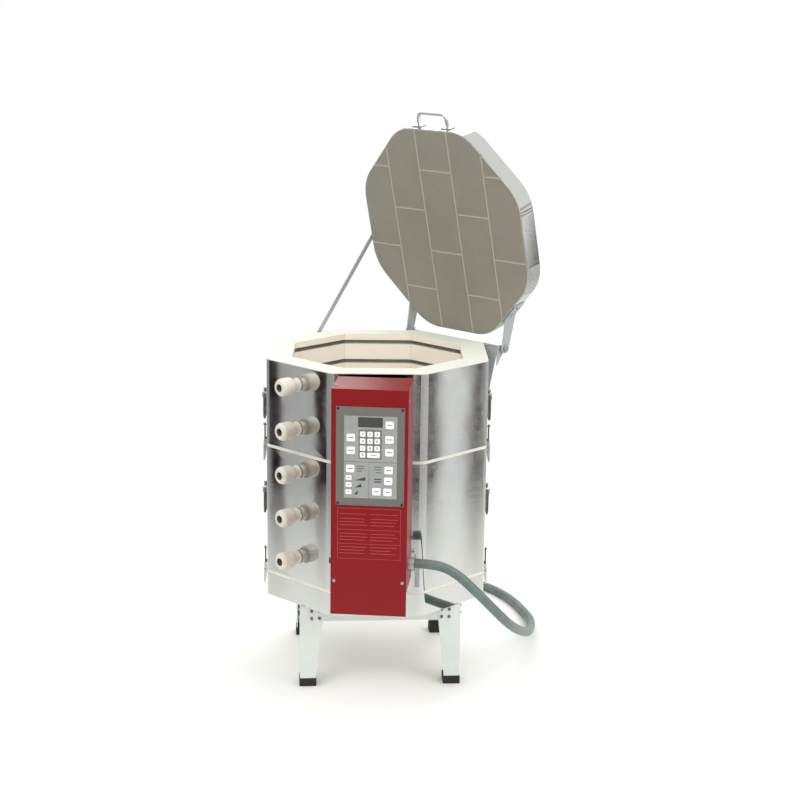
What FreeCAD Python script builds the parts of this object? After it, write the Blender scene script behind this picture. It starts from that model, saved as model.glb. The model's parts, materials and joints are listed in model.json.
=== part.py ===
import FreeCAD, Part
import math
import os
from FreeCAD import Rotation, Vector

# Top-loading electric pottery kiln, eight-sided, two stacked rings on a sheet stand, lid open.
# Millimetres, +Z up.  The shapes are made round the chamber's own axis, then all are moved
# together so that the origin is the centre of the footprint, on the floor.

# ---------------------------------------------------------------- driving dimensions
chamber_flats = 444.5        # chamber, across flats
wall_thickness = 63.5        # firebrick wall
jacket_thickness = 0.8       # stainless sheet
jacket_bend_radius = 27.0    # outside radius at the eight corners
lower_ring_height = 342.9
upper_ring_height = 228.6
floor_slab_thickness = 63.5
brick_show = 4.0             # brick left bare each side of a joint between rings
upper_courses = 2            # courses of brick in each ring, with a peephole in each
lower_courses = 3
groove_tops = (16.0, 70.0)   # each groove's upper edge, below the top of its course
groove_height = 11.5
groove_depth = 11.0
coil_diameter = 9.0          # outside of the wound heating wire
thermocouple_diameter = 9.0
thermocouple_reach = 25.0    # into the chamber
terminal_diameter = 3.5      # wire tail, and its hole through the wall
terminal_out = 22.0          # tail's end, out from the jacket
terminal_side = 14.0         # tails either side of the middle of the front

stand_width = 419.0
stand_height = 219.5
stand_turn = 3.8             # degrees, the stand sits a little askew under the kiln
stand_sheet = 2.5
leg_width_top = 58.0
leg_width_bottom = 39.0
rail_height = 39.0
rail_flange = 40.0
foot_height = 22.0
foot_wall = 1.5
foot_width = 44.0

lid_inset = 2.3              # lid's band inside the jacket, each side
lid_thickness = 50.8
lid_corner_radius = 115.0
lid_gap = 2.0                # closed lid above the rim
lid_open_angle = 77.0
hinge_off = 19.0             # hinge axis outside the jacket
hinge_drop = 10.0            # hinge axis below the rim
hinge_rod_diameter = 9.5
hinge_half_span = 168.0      # outer face of the body plate's ears
hinge_plate_height = 123.0
hinge_plate_sheet = 2.5
arm_sheet = 3.0
arm_gap = 8.0                # body ear to lid arm, filled by a spacer on the rod
lid_flange_length = 55.0     # arm's flange along the next side of the lid
lid_handle_width = 105.0
lid_handle_reach = 36.0
lid_handle_rod = 8.5
lid_handle_shift = -9.0

brace_width = 12.0
brace_sheet = 3.0
brace_in = 4.5               # bar's inner face, out from the jacket
brace_pin_diameter = 6.0
guide_height = 22.0
guide_sheet = 1.8
brace_guide_along = 24.0     # guide's place, towards the hinge from the chamber axis
brace_guide_below_rim = 48.0
brace_rise_on_lid = 37.4     # pivot on the lid, above the rim when closed
brace_tail = 34.0            # bar past the guide when the lid is open

plug_shank_outer = 30.0
plug_shank_inner = 24.0
plug_shank_length = 58.0
plug_clearance = 0.5
plug_off = 0.6               # collar outside the wall's outer plane
plug_collar_diameter = 36.0
plug_collar_length = 5.0
plug_neck_diameter = 31.0
plug_neck_length = 15.0
plug_knob_diameter = 46.0
plug_knob_length = 43.0
plug_knob_round = 12.0
plug_dimple_diameter = 20.0
plug_dimple_depth = 14.0

box_width = 187.0
box_depth = 137.5            # back edge to front face
box_top_below_rim = 4.5
panel_height = 570.0
chassis_height = 512.0
box_sheet = 1.5
box_left = -97.0             # left side, from the middle of the front face
box_back_gap = 14.0          # jacket to the box's back edge, shut
box_ajar_angle = 6.0
box_hinge_side = 4.0         # hinge axis left of the box's side
box_hinge_back = 10.0        # hinge axis out from the jacket
knuckle_height = 30.0
knuckle_radius = 3.5
box_pin = 4.6
fascia_width = 166.5
fascia_height = 246.0
fascia_side = 11.9
fascia_below_top = 43.0
fascia_sheet = 1.2
overlay_width = 128.5
overlay_height = 205.0
overlay_side = 20.1
overlay_below = 22.0
overlay_sheet = 0.6
display_width = 56.0
display_height = 21.0
display_side = 35.4
display_below = 4.8
connector_above_chassis = 62.0  # cord's entry above the chassis's underside
connector_diameter = 32.0
connector_nut = 34.0
fuse_from_front = 55.0
fuse_cap = (15.0, 10.0)      # diameter, length
fuse_body = (12.0, 35.0)
chassis_corner = 18.0
chassis_flange = 14.0
connector_from_front = 58.0
screw_head = (8.0, 2.2)      # diameter, height
fascia_screw = (6.5, 1.8)
fascia_screw_inset = 5.0
panel_screw_above = 87.0     # above the panel's lower edge
shield_out = 6.0             # heat shield's back, out from the jacket
shield_sheet = 1.2
shield_margin = (6.0, 8.0)   # below and above, inside the chassis
window_half = 32.0           # wiring window, half its width
spacer_diameter = 10.0
spacer_inset = (20.0, 14.0)
connector_neck = 28.0
fuse_neck = 11.0
connector_length = 14.0
hook_from_front = 96.0
hook_below_connector = 30.0

handle_wire = 6.0
handle_width = 72.0
handle_drop = 62.0
handle_out = 10.0            # bail's pivot, out from the jacket
handle_ear = 6.0
handle_pivot_below = 14.0    # pivot below the plate's top
handle_plate_height = 42.0
handle_ear_half = 7.0        # half the ear's height
handle_plate_inset = 4.0     # plate's edge inside the bail's width
handle_corner = (6.5, 18.0)  # bail's bends at the pivots and at the grip
handle_below_rim = 102.0
handle_below_joint = 132.0
latch_wire = 3.2
latch_pin = 5.0
latch_lever_length = 50.0
latch_pivot_out = 9.0
latch_pivot_below = 20.0     # lever pivot, below the joint that the latch draws shut
latch_link_out = 2.0         # bail pivot from the lever pivot, outward
latch_link_down = 12.0       # and downward
latch_tab_above = 24.0       # keeper's tab above the joint
latch_tab = 3.0
latch_tab_width = 8.0
latch_tab_out = 15.5
latch_lip = 2.4              # turned up edge that the wire drops behind
keeper_above = 12.0          # keeper's plate above the joint
keeper_height = 24.0
cheek_in, cheek_out = 9.0, 11.0
ear_in, ear_out = 11.6, 13.6

cord_diameter = 24.0
running_clearance = 0.05
pose_gap = 0.3

# ---------------------------------------------------------------- sizes that follow
brick_flats = chamber_flats + 2 * wall_thickness
jacket_flats = brick_flats + 2 * jacket_thickness
lid_flats = jacket_flats - 2 * lid_inset
apothem = jacket_flats / 2
slab_z = stand_height
ring_z = slab_z + floor_slab_thickness
joint_z = ring_z + lower_ring_height
rim_z = joint_z + upper_ring_height
groove_flats = chamber_flats + 2 * groove_depth
lid_apothem = lid_flats / 2
lid_z = rim_z + lid_gap
hinge_y = -hinge_off
hinge_z = rim_z - hinge_drop
thermocouple_z = joint_z - (sum(groove_tops) + groove_height) / 2
X_AXIS, Y_AXIS, Z_AXIS = Vector(1, 0, 0), Vector(0, 1, 0), Vector(0, 0, 1)
parts = {}


def polygon_prism(points, lift):
    """Prism of a closed outline of vectors, extruded along lift."""
    return Part.Face(Part.makePolygon(points + [points[0]])).extrude(lift)


def octagon_wire(flats, radius, z):
    """Eight-sided outline with round corners; side 0 faces -Y."""
    reach = flats / 2 / math.cos(math.pi / 8)
    inset = reach - radius / math.cos(math.pi / 8)
    edges, last = [], None
    for k in range(8):
        mid = math.radians(-67.5 + 45 * k)
        centre = Vector(inset * math.cos(mid), inset * math.sin(mid), z)
        on_arc = [centre + Vector(radius * math.cos(mid + t), radius * math.sin(mid + t), 0)
                  for t in (-math.pi / 8, 0, math.pi / 8)]
        if last is not None:
            edges.append(Part.makeLine(last, on_arc[0]))
        else:
            first = on_arc[0]
        edges.append(Part.Arc(*on_arc).toShape())
        last = on_arc[2]
    edges.append(Part.makeLine(last, first))
    return Part.Wire(edges)


def octagon_prism(flats, radius, z_low, z_high):
    return Part.Face(octagon_wire(flats, radius, z_low)).extrude(Vector(0, 0, z_high - z_low))


def octagon_sharp(flats, z_low, z_high):
    reach = flats / 2 / math.cos(math.pi / 8)
    points = [Vector(reach * math.cos(math.radians(-67.5 + 45 * k)),
                     reach * math.sin(math.radians(-67.5 + 45 * k)), z_low) for k in range(8)]
    return polygon_prism(points, Vector(0, 0, z_high - z_low))


def block(x_low, x_high, y_low, y_high, z_low, z_high):
    return Part.makeBox(x_high - x_low, y_high - y_low, z_high - z_low, Vector(x_low, y_low, z_low))


def rod(start, end, diameter):
    return Part.makeCylinder(diameter / 2, (end - start).Length, start, end - start)


def fuse(shapes):
    whole = shapes[0].fuse(shapes[1:]) if len(shapes) > 1 else shapes[0]
    return whole.removeSplitter()


def on_face(shape, side, flats=None):
    """Moves a shape made on side 0's outer plane (y = 0 there, -Y outward) to a side."""
    moved = shape.copy()
    moved.translate(Vector(0, -(apothem if flats is None else flats / 2), 0))
    moved.rotate(Vector(), Z_AXIS, 45 * side)
    return moved


def face_point(point, side, flats=None):
    out = point + Vector(0, -(apothem if flats is None else flats / 2), 0)
    return Rotation(Z_AXIS, 45 * side).multVec(out)


def face_axis(direction, side):
    return Rotation(Z_AXIS, 45 * side).multVec(direction)


def bent_rod(points, radii, diameter):
    """Round bar along straight runs with a tangent arc of its own radius at each corner."""
    edges, start = [], points[0]
    for before, corner, after, radius in zip(points, points[1:], points[2:], radii):
        into = (corner - before).normalize()
        out = (after - corner).normalize()
        half_turn = into.getAngle(out) / 2
        cut = radius * math.tan(half_turn)
        arc_start, arc_end = corner - into * cut, corner + out * cut
        bisector = (out - into).normalize()
        middle = corner + bisector * (radius / math.cos(half_turn) - radius)
        edges.append(Part.makeLine(start, arc_start))
        edges.append(Part.Arc(arc_start, middle, arc_end).toShape())
        start = arc_end
    edges.append(Part.makeLine(start, points[-1]))
    path = Part.Wire(edges)
    first = (points[1] - points[0]).normalize()
    section = Part.Wire(Part.makeCircle(diameter / 2, points[0], first))
    return path.makePipeShell([section], True, False)


# ---------------------------------------------------------------- stand
def stand_frame(shape):
    turned = shape.copy()
    turned.rotate(Vector(), Z_AXIS, stand_turn)
    return turned


def leg():
    """Corner leg at (-half, -half): two tapered sheets meeting at the outer corner."""
    half, top = stand_width / 2, stand_height - stand_sheet
    low = foot_wall * 2

    def sheet(width_low, width_high):
        return [Vector(-half, -half, low), Vector(-half + width_low, -half, low),
                Vector(-half + width_high, -half, top - rail_height),
                Vector(-half + width_high, -half, top), Vector(-half, -half, top)]

    front = polygon_prism(sheet(leg_width_bottom, leg_width_top), Vector(0, stand_sheet, 0))
    side = front.mirror(Vector(), Vector(1, -1, 0).normalize())
    return fuse([front, side])


def stand():
    half = stand_width / 2
    top = stand_height - stand_sheet
    names = ("front_left", "front_right", "rear_right", "rear_left")
    feet, bolts = [], []
    for turn, name in enumerate(names):
        one = leg()
        outer = half + foot_wall
        cap = block(-outer, -outer + foot_width, -outer, -outer + foot_width, 0, foot_height)
        pieces = [one, cap.cut(one)]
        reach = half + 3.0
        for along in (30.0, 50.0):
            for down in (12.0, 32.0):
                z = stand_height - down
                head = rod(Vector(-half + along, -half, z), Vector(-half + along, -reach, z), 8.0)
                other = rod(Vector(-half, -half + along, z), Vector(-reach, -half + along, z), 8.0)
                pieces += [head, other]
        for piece in pieces:
            piece.rotate(Vector(), Z_AXIS, 90 * turn)
        parts["stand_leg_" + name] = stand_frame(pieces[0])
        feet.append(stand_frame(pieces[1]))
        bolts += [stand_frame(p) for p in pieces[2:]]
    parts["rubber_feet"] = Part.makeCompound(feet)
    parts["stand_bolts"] = Part.makeCompound(bolts)
    inner = half - stand_sheet
    rails = []
    for turn in range(4):
        long_rail = turn % 2 == 0
        web_end = inner if long_rail else inner - stand_sheet
        flange_end = half if long_rail else half - rail_flange
        web = block(-web_end, web_end, -inner, -inner + stand_sheet, top - rail_height, top)
        flange = block(-flange_end, flange_end, -half, -half + rail_flange, top, stand_height)
        rail = fuse([web, flange])
        rail.rotate(Vector(), Z_AXIS, 90 * turn)
        rails.append(stand_frame(rail))
    parts["stand_rails"] = Part.makeCompound(rails)


# ---------------------------------------------------------------- kiln body
def course_tops():
    """Top of each course of brick, from the rim down to the floor slab."""
    tops = []
    for top, height, count in ((rim_z, upper_ring_height, upper_courses),
                               (joint_z, lower_ring_height, lower_courses)):
        tops += [top - height * i / count for i in range(count)]
    return tops


def groove_heights():
    """Middle of each groove."""
    return [top - below - groove_height / 2 for top in course_tops() for below in groove_tops]


def plug_heights():
    """Peepholes are midway between the two grooves of their course."""
    return [top - (sum(groove_tops) + groove_height) / 2 for top in course_tops()]


def peephole(z, extra):
    """Tapered hole through the wall on the front-left side, for a plug or for its clearance."""
    return on_face(plug_shank(z, extra), 7)


def plug_shank(z, extra):
    wall = wall_thickness + jacket_thickness
    slope = (plug_shank_outer - plug_shank_inner) / 2 / plug_shank_length
    r_out = plug_shank_outer / 2 + extra
    length = plug_shank_length if extra == 0 else wall + 2
    r_in = r_out - slope * length
    return Part.makeCone(r_out, r_in, length, Vector(0, 0, z), Y_AXIS)


def terminal_places():
    """x and z of each wire tail that leaves a groove through the front wall."""
    heights = groove_heights()
    places = []
    for low, high in zip(heights[1::2], heights[0::2]):
        places += [(-terminal_side, low), (terminal_side, high)]
    return places


def mitred(ring):
    """The ring's eight walls, parted at the corners where the bricks meet."""
    reach = 2 * brick_flats * math.tan(math.pi / 8)
    z_low, z_high = ring.BoundBox.ZMin - 1, ring.BoundBox.ZMax + 1
    walls = []
    for side in range(8):
        wedge = polygon_prism([Vector(0, 0, z_low), Vector(-reach, -reach / math.tan(math.pi / 8), z_low),
                               Vector(reach, -reach / math.tan(math.pi / 8), z_low)],
                              Vector(0, 0, z_high - z_low))
        wedge.rotate(Vector(), Z_AXIS, 45 * side)
        walls += ring.common(wedge).Solids
    return Part.makeCompound(walls)


def ring_brick(z_low, z_high):
    body = octagon_prism(brick_flats, jacket_bend_radius - jacket_thickness, z_low, z_high)
    body = body.cut(octagon_sharp(chamber_flats, z_low, z_high))
    cuts = []
    for z in groove_heights():
        if z_low < z < z_high:
            cuts.append(octagon_sharp(groove_flats, z - groove_height / 2, z + groove_height / 2))
    for z in plug_heights():
        if z_low < z < z_high:
            cuts.append(peephole(z, plug_clearance))
    for x, z in terminal_places():
        if z_low < z < z_high:
            cuts.append(rod(face_point(Vector(x, -1, z), 0),
                            face_point(Vector(x, wall_thickness, z), 0), terminal_diameter))
    if z_low < thermocouple_z < z_high:
        cuts.append(rod(face_point(Vector(0, -1, thermocouple_z), 0),
                        face_point(Vector(0, wall_thickness + 5, thermocouple_z), 0),
                        thermocouple_diameter + 2 * pose_gap))
    return mitred(body.cut(cuts))


def ring_jacket(z_low, z_high):
    shell = octagon_prism(jacket_flats, jacket_bend_radius, z_low, z_high)
    shell = shell.cut(octagon_prism(brick_flats, jacket_bend_radius - jacket_thickness, z_low, z_high))
    cuts = [peephole(z, plug_clearance) for z in plug_heights() if z_low < z < z_high]
    for x, z in terminal_places():
        if z_low < z < z_high:
            cuts.append(rod(face_point(Vector(x, -2, z), 0), face_point(Vector(x, 2, z), 0), 12.0))
    if z_low < thermocouple_z < z_high:
        cuts.append(rod(face_point(Vector(0, -2, thermocouple_z), 0),
                        face_point(Vector(0, 2, thermocouple_z), 0), thermocouple_diameter + 6))
    return shell.cut(cuts) if cuts else shell


def kiln_body():
    parts["floor_slab"] = octagon_prism(brick_flats, jacket_bend_radius - jacket_thickness,
                                        slab_z, ring_z)
    band = octagon_prism(jacket_flats, jacket_bend_radius, slab_z, ring_z - brick_show)
    parts["floor_slab_band"] = band.cut(parts["floor_slab"])
    parts["lower_ring_brick"] = ring_brick(ring_z, joint_z)
    parts["upper_ring_brick"] = ring_brick(joint_z, rim_z)
    parts["lower_ring_jacket"] = ring_jacket(ring_z + brick_show, joint_z - brick_show)
    parts["upper_ring_jacket"] = ring_jacket(joint_z + brick_show, rim_z - brick_show / 2)


def heating():
    """Wound wire lies in each groove; its plain outer shape is a bar round the eight sides."""
    loops = []
    outer = groove_flats - 1.0
    inner = outer - 2 * coil_diameter
    for z in groove_heights():
        low = z - groove_height / 2 + 0.5
        loop = octagon_sharp(outer, low, low + coil_diameter)
        loops.append(loop.cut(octagon_sharp(inner, low, low + coil_diameter)))
    parts["heating_elements"] = Part.makeCompound(loops)
    tails = []
    for x, z in terminal_places():
        start = face_point(Vector(x, -terminal_out, z), 0)
        end = face_point(Vector(x, wall_thickness + jacket_thickness - groove_depth, z), 0)
        tails.append(rod(start, end, terminal_diameter))
    parts["element_terminals"] = Part.makeCompound(tails)
    z = thermocouple_z
    probe = rod(face_point(Vector(0, -8, z), 0),
                face_point(Vector(0, wall_thickness + jacket_thickness + thermocouple_reach, z), 0),
                thermocouple_diameter)
    head = on_face(block(-12, 12, -20, -6, z - 8, z + 8), 0)
    parts["thermocouple"] = fuse([probe, head])


# ---------------------------------------------------------------- peephole plugs
def peephole_plugs():
    collar_end = -plug_off - plug_collar_length
    knob_start = collar_end - plug_neck_length
    knob_end = knob_start - plug_knob_length
    for number, z in enumerate(plug_heights(), 1):
        collar = rod(Vector(0, -plug_off, z), Vector(0, collar_end, z), plug_collar_diameter)
        bridge = rod(Vector(0, 0.2, z), Vector(0, -plug_off - 0.2, z), plug_shank_outer)
        neck = rod(Vector(0, collar_end, z), Vector(0, knob_start, z), plug_neck_diameter)
        knob = rod(Vector(0, knob_start, z), Vector(0, knob_end, z), plug_knob_diameter)
        rims = [e for e in knob.Edges if e.isClosed()]
        knob = knob.makeFillet(plug_knob_round, rims)
        dimple = rod(Vector(0, knob_end - 1, z), Vector(0, knob_end + plug_dimple_depth, z),
                     plug_dimple_diameter)
        plug = fuse([plug_shank(z, 0), bridge, collar, neck, knob]).cut(dimple)
        parts["peephole_plug_%d" % number] = on_face(plug, 7)


# ---------------------------------------------------------------- lid hinge on the body
def hinge_on_body():
    half, sheet = hinge_half_span, hinge_plate_sheet
    top = hinge_z + 2.0
    low = top - hinge_plate_height
    plate = polygon_prism([Vector(-half, 0, top), Vector(half, 0, top),
                           Vector(half - 28, 0, low), Vector(-half + 28, 0, low)],
                          Vector(0, -sheet, 0))
    ears = []
    for side in (-1, 1):
        x_out, x_in = side * half, side * (half - sheet)
        outline = [Vector(x_in, 0, hinge_z + 2), Vector(x_in, 0, hinge_z - 46),
                   Vector(x_in, hinge_y - 11, hinge_z - 6), Vector(x_in, hinge_y - 11, hinge_z + 8),
                   Vector(x_in, hinge_y + 11, hinge_z + 8)]
        ears.append(polygon_prism(outline, Vector(x_out - x_in, 0, 0)))
    whole = fuse([plate] + ears)
    bore = rod(Vector(-half - 5, hinge_y, hinge_z), Vector(half + 5, hinge_y, hinge_z),
               hinge_rod_diameter)
    parts["hinge_back_plate"] = on_face(whole.cut(bore), 3)
    end = half + arm_gap + arm_sheet + 1.0
    bar = rod(Vector(-end, hinge_y, hinge_z), Vector(end, hinge_y, hinge_z), hinge_rod_diameter)
    heads, spacers = [], []
    for side in (-1, 1):
        heads.append(rod(Vector(side * end, hinge_y, hinge_z),
                         Vector(side * (end + 5), hinge_y, hinge_z), 16.0))
        spacers.append(rod(Vector(side * half, hinge_y, hinge_z),
                           Vector(side * (half + arm_gap - 1.0), hinge_y, hinge_z), 15.0))
    parts["hinge_rod"] = on_face(fuse([bar] + heads + spacers), 3)


# ---------------------------------------------------------------- lid, made shut, then opened
hinge_point = face_point(Vector(0, hinge_y, hinge_z), 3)
hinge_axis = face_axis(X_AXIS, 3)


def opened(shape, angle=lid_open_angle, centre=None):
    """Turns a piece of the shut lid about the hinge."""
    turned = shape.copy()
    turned.rotate(hinge_point if centre is None else centre, hinge_axis, angle)
    return turned


def lid_flange_start():
    """How far from the middle of the neighbouring side the arm's ear meets the lid's band."""
    corner = lid_apothem * math.tan(math.pi / 8)
    return corner - (hinge_half_span + arm_gap - corner) * math.sqrt(2)


def lid_arm(side):
    """Sheet ear on the rod, with a flange screwed to the band of the next side."""
    x_in = side * (hinge_half_span + arm_gap)
    lift = Vector(side * arm_sheet, 0, 0)
    edge = apothem - (lid_apothem * math.sqrt(2) - abs(x_in))
    low, high = lid_z + 6.0, lid_z + lid_thickness - 4.0
    outline = [Vector(x_in, edge - 1.5, low), Vector(x_in, hinge_y + 12, hinge_z - 8),
               Vector(x_in, hinge_y + 4, hinge_z - 13), Vector(x_in, hinge_y - 5, hinge_z - 12),
               Vector(x_in, hinge_y - 12, hinge_z - 5), Vector(x_in, hinge_y - 13, hinge_z + 4),
               Vector(x_in, hinge_y - 5, hinge_z + 14), Vector(x_in, edge - 1.5, high)]
    ear = on_face(polygon_prism(outline, lift), 3)
    neighbour = 4 if side > 0 else 2
    along = lid_flange_start()
    near, far = side * -(along + arm_sheet), side * -(along - lid_flange_length)
    flange = on_face(block(min(near, far), max(near, far), -arm_sheet, 0, low, high),
                     neighbour, lid_flats)
    arm = fuse([ear, flange])
    bore = on_face(rod(Vector(x_in - side * 5, hinge_y, hinge_z),
                       Vector(x_in + side * 9, hinge_y, hinge_z),
                       hinge_rod_diameter + 2 * running_clearance), 3)
    return arm.cut(bore)


def lid():
    inner_radius = lid_corner_radius - jacket_thickness
    slab = octagon_prism(lid_flats - 2 * jacket_thickness, inner_radius, lid_z,
                         lid_z + lid_thickness)
    band = octagon_prism(lid_flats, lid_corner_radius, lid_z + 1.0, lid_z + lid_thickness - 1.0)
    parts["lid_slab"] = opened(slab)
    parts["lid_band"] = opened(band.cut(slab))
    parts["lid_hinge_arms"] = opened(Part.makeCompound([lid_arm(-1), lid_arm(1)]))

    mid_z = lid_z + lid_thickness / 2
    half, reach = lid_handle_width / 2, lid_handle_reach
    centre = lid_handle_shift
    loop = bent_rod([Vector(centre - half, 0, mid_z), Vector(centre - half + 4, -reach, mid_z),
                     Vector(centre + half - 4, -reach, mid_z), Vector(centre + half, 0, mid_z)],
                    [15.0, 15.0], lid_handle_rod)
    feet = [block(centre + s * half - 17, centre + s * half + 17, -3.0, 0, mid_z - 11, mid_z + 11)
            for s in (-1, 1)]
    handle = fuse([loop] + feet)
    inside = block(centre - half - 30, centre + half + 30, 0, 20, mid_z - 20, mid_z + 20)
    parts["lid_handle"] = opened(on_face(handle.cut(inside), 7, lid_flats))

    pivot = face_point(Vector(brace_local_x(brace_pivot_along), 0, brace_pivot_z), 5)
    outward = face_axis(-Y_AXIS, 5)
    seat = apothem - lid_apothem
    fasteners = [rod(pivot - outward * seat, pivot + outward * (brace_in - pose_gap), 14.0),
                 rod(pivot - outward * seat, pivot + outward * (brace_out + pose_gap),
                     brace_pin_diameter),
                 rod(pivot + outward * (brace_out + pose_gap),
                     pivot + outward * (brace_out + 3.0), 13.0)]
    group = [fuse(fasteners)]
    clamp_x = -35.0
    lug = block(clamp_x - 12, clamp_x + 12, -4.0, 0, mid_z - 9, mid_z + 9)
    group.append(on_face(lug, 3, lid_flats))
    for side, neighbour in ((-1, 2), (1, 4)):
        for step in (12.0, 42.0):
            x = side * (step - lid_flange_start())
            head = rod(Vector(x, -arm_sheet, mid_z), Vector(x, -arm_sheet - 2.5, mid_z), 9.0)
            group.append(on_face(head, neighbour, lid_flats))
    parts["lid_fasteners"] = opened(Part.makeCompound(group))


# ---------------------------------------------------------------- lid brace
# The brace runs from a pivot on the lid through a swivelling guide on the body.  Both are
# the same distance from the hinge, so the bar always turns half as far as the lid does.
brace_out = brace_in + brace_sheet
hinge_along = apothem + hinge_off
guide_z = rim_z - brace_guide_below_rim
guide_radius = math.hypot(hinge_along - brace_guide_along, guide_z - hinge_z)
brace_pivot_z = rim_z + brace_rise_on_lid
brace_pivot_along = hinge_along - math.sqrt(guide_radius ** 2 - (brace_pivot_z - hinge_z) ** 2)


def brace_local_x(along):
    """Distance towards the hinge, as the x of the back-left side's own frame."""
    return -along


brace_pivot_shut = face_point(Vector(brace_local_x(brace_pivot_along), 0, brace_pivot_z), 5)
brace_pivot = hinge_point + Rotation(hinge_axis, lid_open_angle).multVec(
    brace_pivot_shut - hinge_point)
brace_guide_point = face_point(Vector(brace_local_x(brace_guide_along), 0, guide_z), 5)


def along_brace(shape):
    """Turns a piece made hanging straight down from the guide to the open brace's slope."""
    down = brace_guide_point - brace_pivot
    slope = math.degrees(math.atan2(down.dot(face_axis(X_AXIS, 5)), -down.z))
    turned = on_face(shape, 5)
    turned.rotate(brace_guide_point, face_axis(-Y_AXIS, 5), slope)
    return turned


def brace():
    span = (brace_guide_point - brace_pivot).Length
    x, z = brace_local_x(brace_guide_along), guide_z
    half = brace_width / 2
    bar = block(x - half, x + half, -brace_out, -brace_in, z - brace_tail, z + span)
    eye = rod(Vector(x, -brace_in, z + span), Vector(x, -brace_out, z + span), 18.0)
    bore = rod(Vector(x, 1, z + span), Vector(x, -20, z + span),
               brace_pin_diameter + 2 * running_clearance)
    stop_z = z - guide_height / 2 - pose_gap
    stop = block(x - half - 4, x + half + 4, -brace_out, -brace_in, stop_z - 8, stop_z)
    notch = block(x + half - 1.5, x + half + 1, -brace_out, -brace_in, z - 3, z + 3)
    parts["lid_brace"] = along_brace(fuse([bar, eye, stop]).cut(bore).cut(notch))

    room = 0.5
    inner_half = half + room
    back_low, back_high = -(brace_in - 0.9), -(brace_in - 0.9 - guide_sheet)
    front = -(brace_out + room)
    shell = block(x - inner_half - guide_sheet, x + inner_half + guide_sheet,
                  front - guide_sheet, back_high, z - guide_height / 2, z + guide_height / 2)
    hollow = block(x - inner_half, x + inner_half, front, back_low,
                   z - guide_height / 2 - 1, z + guide_height / 2 + 1)
    bore = rod(Vector(x, 1, z), Vector(x, -brace_in, z),
               brace_pin_diameter + 2 * running_clearance)
    parts["brace_guide"] = along_brace(shell.cut(hollow).cut(bore))
    disc = rod(Vector(x, 0, z), Vector(x, back_high + 0.4, z), 16.0)
    pin = rod(Vector(x, 0, z), Vector(x, back_low + 0.1, z), brace_pin_diameter)
    parts["brace_guide_stud"] = along_brace(fuse([disc, pin]))


# ---------------------------------------------------------------- drop handles and draw latches
side_faces = (("right", 2), ("left", 6))
handle_tops = (("upper", rim_z - handle_below_rim), ("lower", joint_z - handle_below_joint))
latch_joints = (("upper", joint_z), ("lower", ring_z))


def handles():
    plates = []
    half = handle_width / 2
    for side_name, side in side_faces:
        for level, top in handle_tops:
            pivot_z = top - handle_pivot_below
            edge = half - handle_plate_inset
            plate = block(-edge, edge, -2.0, 0, top - handle_plate_height, top)
            ears = []
            for s in (-1, 1):
                x_in, x_out = s * (edge - handle_ear), s * edge
                ears.append(block(min(x_in, x_out), max(x_in, x_out), -handle_out - 6, 0,
                                  pivot_z - handle_ear_half, pivot_z + handle_ear_half))
            bore = rod(Vector(-half, -handle_out, pivot_z), Vector(half, -handle_out, pivot_z),
                       handle_wire + 2 * running_clearance)
            plates.append(on_face(fuse([plate] + ears).cut(bore), side))
            low = pivot_z - handle_drop
            pin_in = edge - handle_ear - 2
            arm = half + handle_wire / 2 + 6
            points = [Vector(-pin_in, -handle_out, pivot_z),
                      Vector(-arm, -handle_out, pivot_z),
                      Vector(-arm, -handle_out, low),
                      Vector(arm, -handle_out, low),
                      Vector(arm, -handle_out, pivot_z),
                      Vector(pin_in, -handle_out, pivot_z)]
            pin_bend, grip_bend = handle_corner
            bail = bent_rod(points, [pin_bend, grip_bend, grip_bend, pin_bend], handle_wire)
            parts["handle_bail_%s_%s" % (side_name, level)] = on_face(bail, side)
    parts["handle_plates"] = Part.makeCompound(plates)


def latch_base(joint):
    """Plate on the lower ring with two ears that hold the lever's pins."""
    pivot_z = joint - latch_pivot_below
    plate = block(-ear_out - 4, ear_out + 4, -2.0, 0, pivot_z - 20, pivot_z + 13)
    shapes = [plate]
    for s in (-1, 1):
        x_low, x_high = sorted((s * ear_in, s * ear_out))
        shapes.append(block(x_low, x_high, -latch_pivot_out - 5, 0, pivot_z - 8, pivot_z + 8))
    bore = rod(Vector(-20, -latch_pivot_out, pivot_z), Vector(20, -latch_pivot_out, pivot_z),
               latch_pin + 2 * running_clearance)
    return fuse(shapes).cut(bore)


def latch_keeper(joint):
    z = joint + latch_tab_above
    plate = block(-13, 13, -2.0, 0, joint + keeper_above,
                  joint + keeper_above + keeper_height)
    half, out = latch_tab_width / 2, latch_tab_out
    tab = block(-half, half, -out, 0, z, z + latch_tab)
    lip = block(-half, half, -out, -out + 2.0, z, z + latch_tab + latch_lip)
    return fuse([plate, tab, lip])


def latch_lever(joint):
    pivot_z = joint - latch_pivot_below
    y = -latch_pivot_out
    shapes = []
    for s in (-1, 1):
        outline = [Vector(s * cheek_in, y + 4, pivot_z + 4), Vector(s * cheek_in, y - 4, pivot_z + 4),
                   Vector(s * cheek_in, y - 6, pivot_z - 8),
                   Vector(s * cheek_in, y - 6, pivot_z - latch_lever_length),
                   Vector(s * cheek_in, y - 2, pivot_z - latch_lever_length),
                   Vector(s * cheek_in, y + 3, pivot_z - 16)]
        shapes.append(polygon_prism(outline, Vector(s * (cheek_out - cheek_in), 0, 0)))
        shapes.append(rod(Vector(s * cheek_in, y, pivot_z), Vector(s * ear_out, y, pivot_z),
                          latch_pin))
    shapes.append(block(-cheek_out, cheek_out, y - 6, y - 4, pivot_z - latch_lever_length,
                        pivot_z - latch_link_down - 4))
    link = Vector(0, y - latch_link_out, pivot_z - latch_link_down)
    bore = rod(link - X_AXIS * 20, link + X_AXIS * 20, latch_wire + 2 * running_clearance)
    return fuse(shapes).cut(bore)


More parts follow.
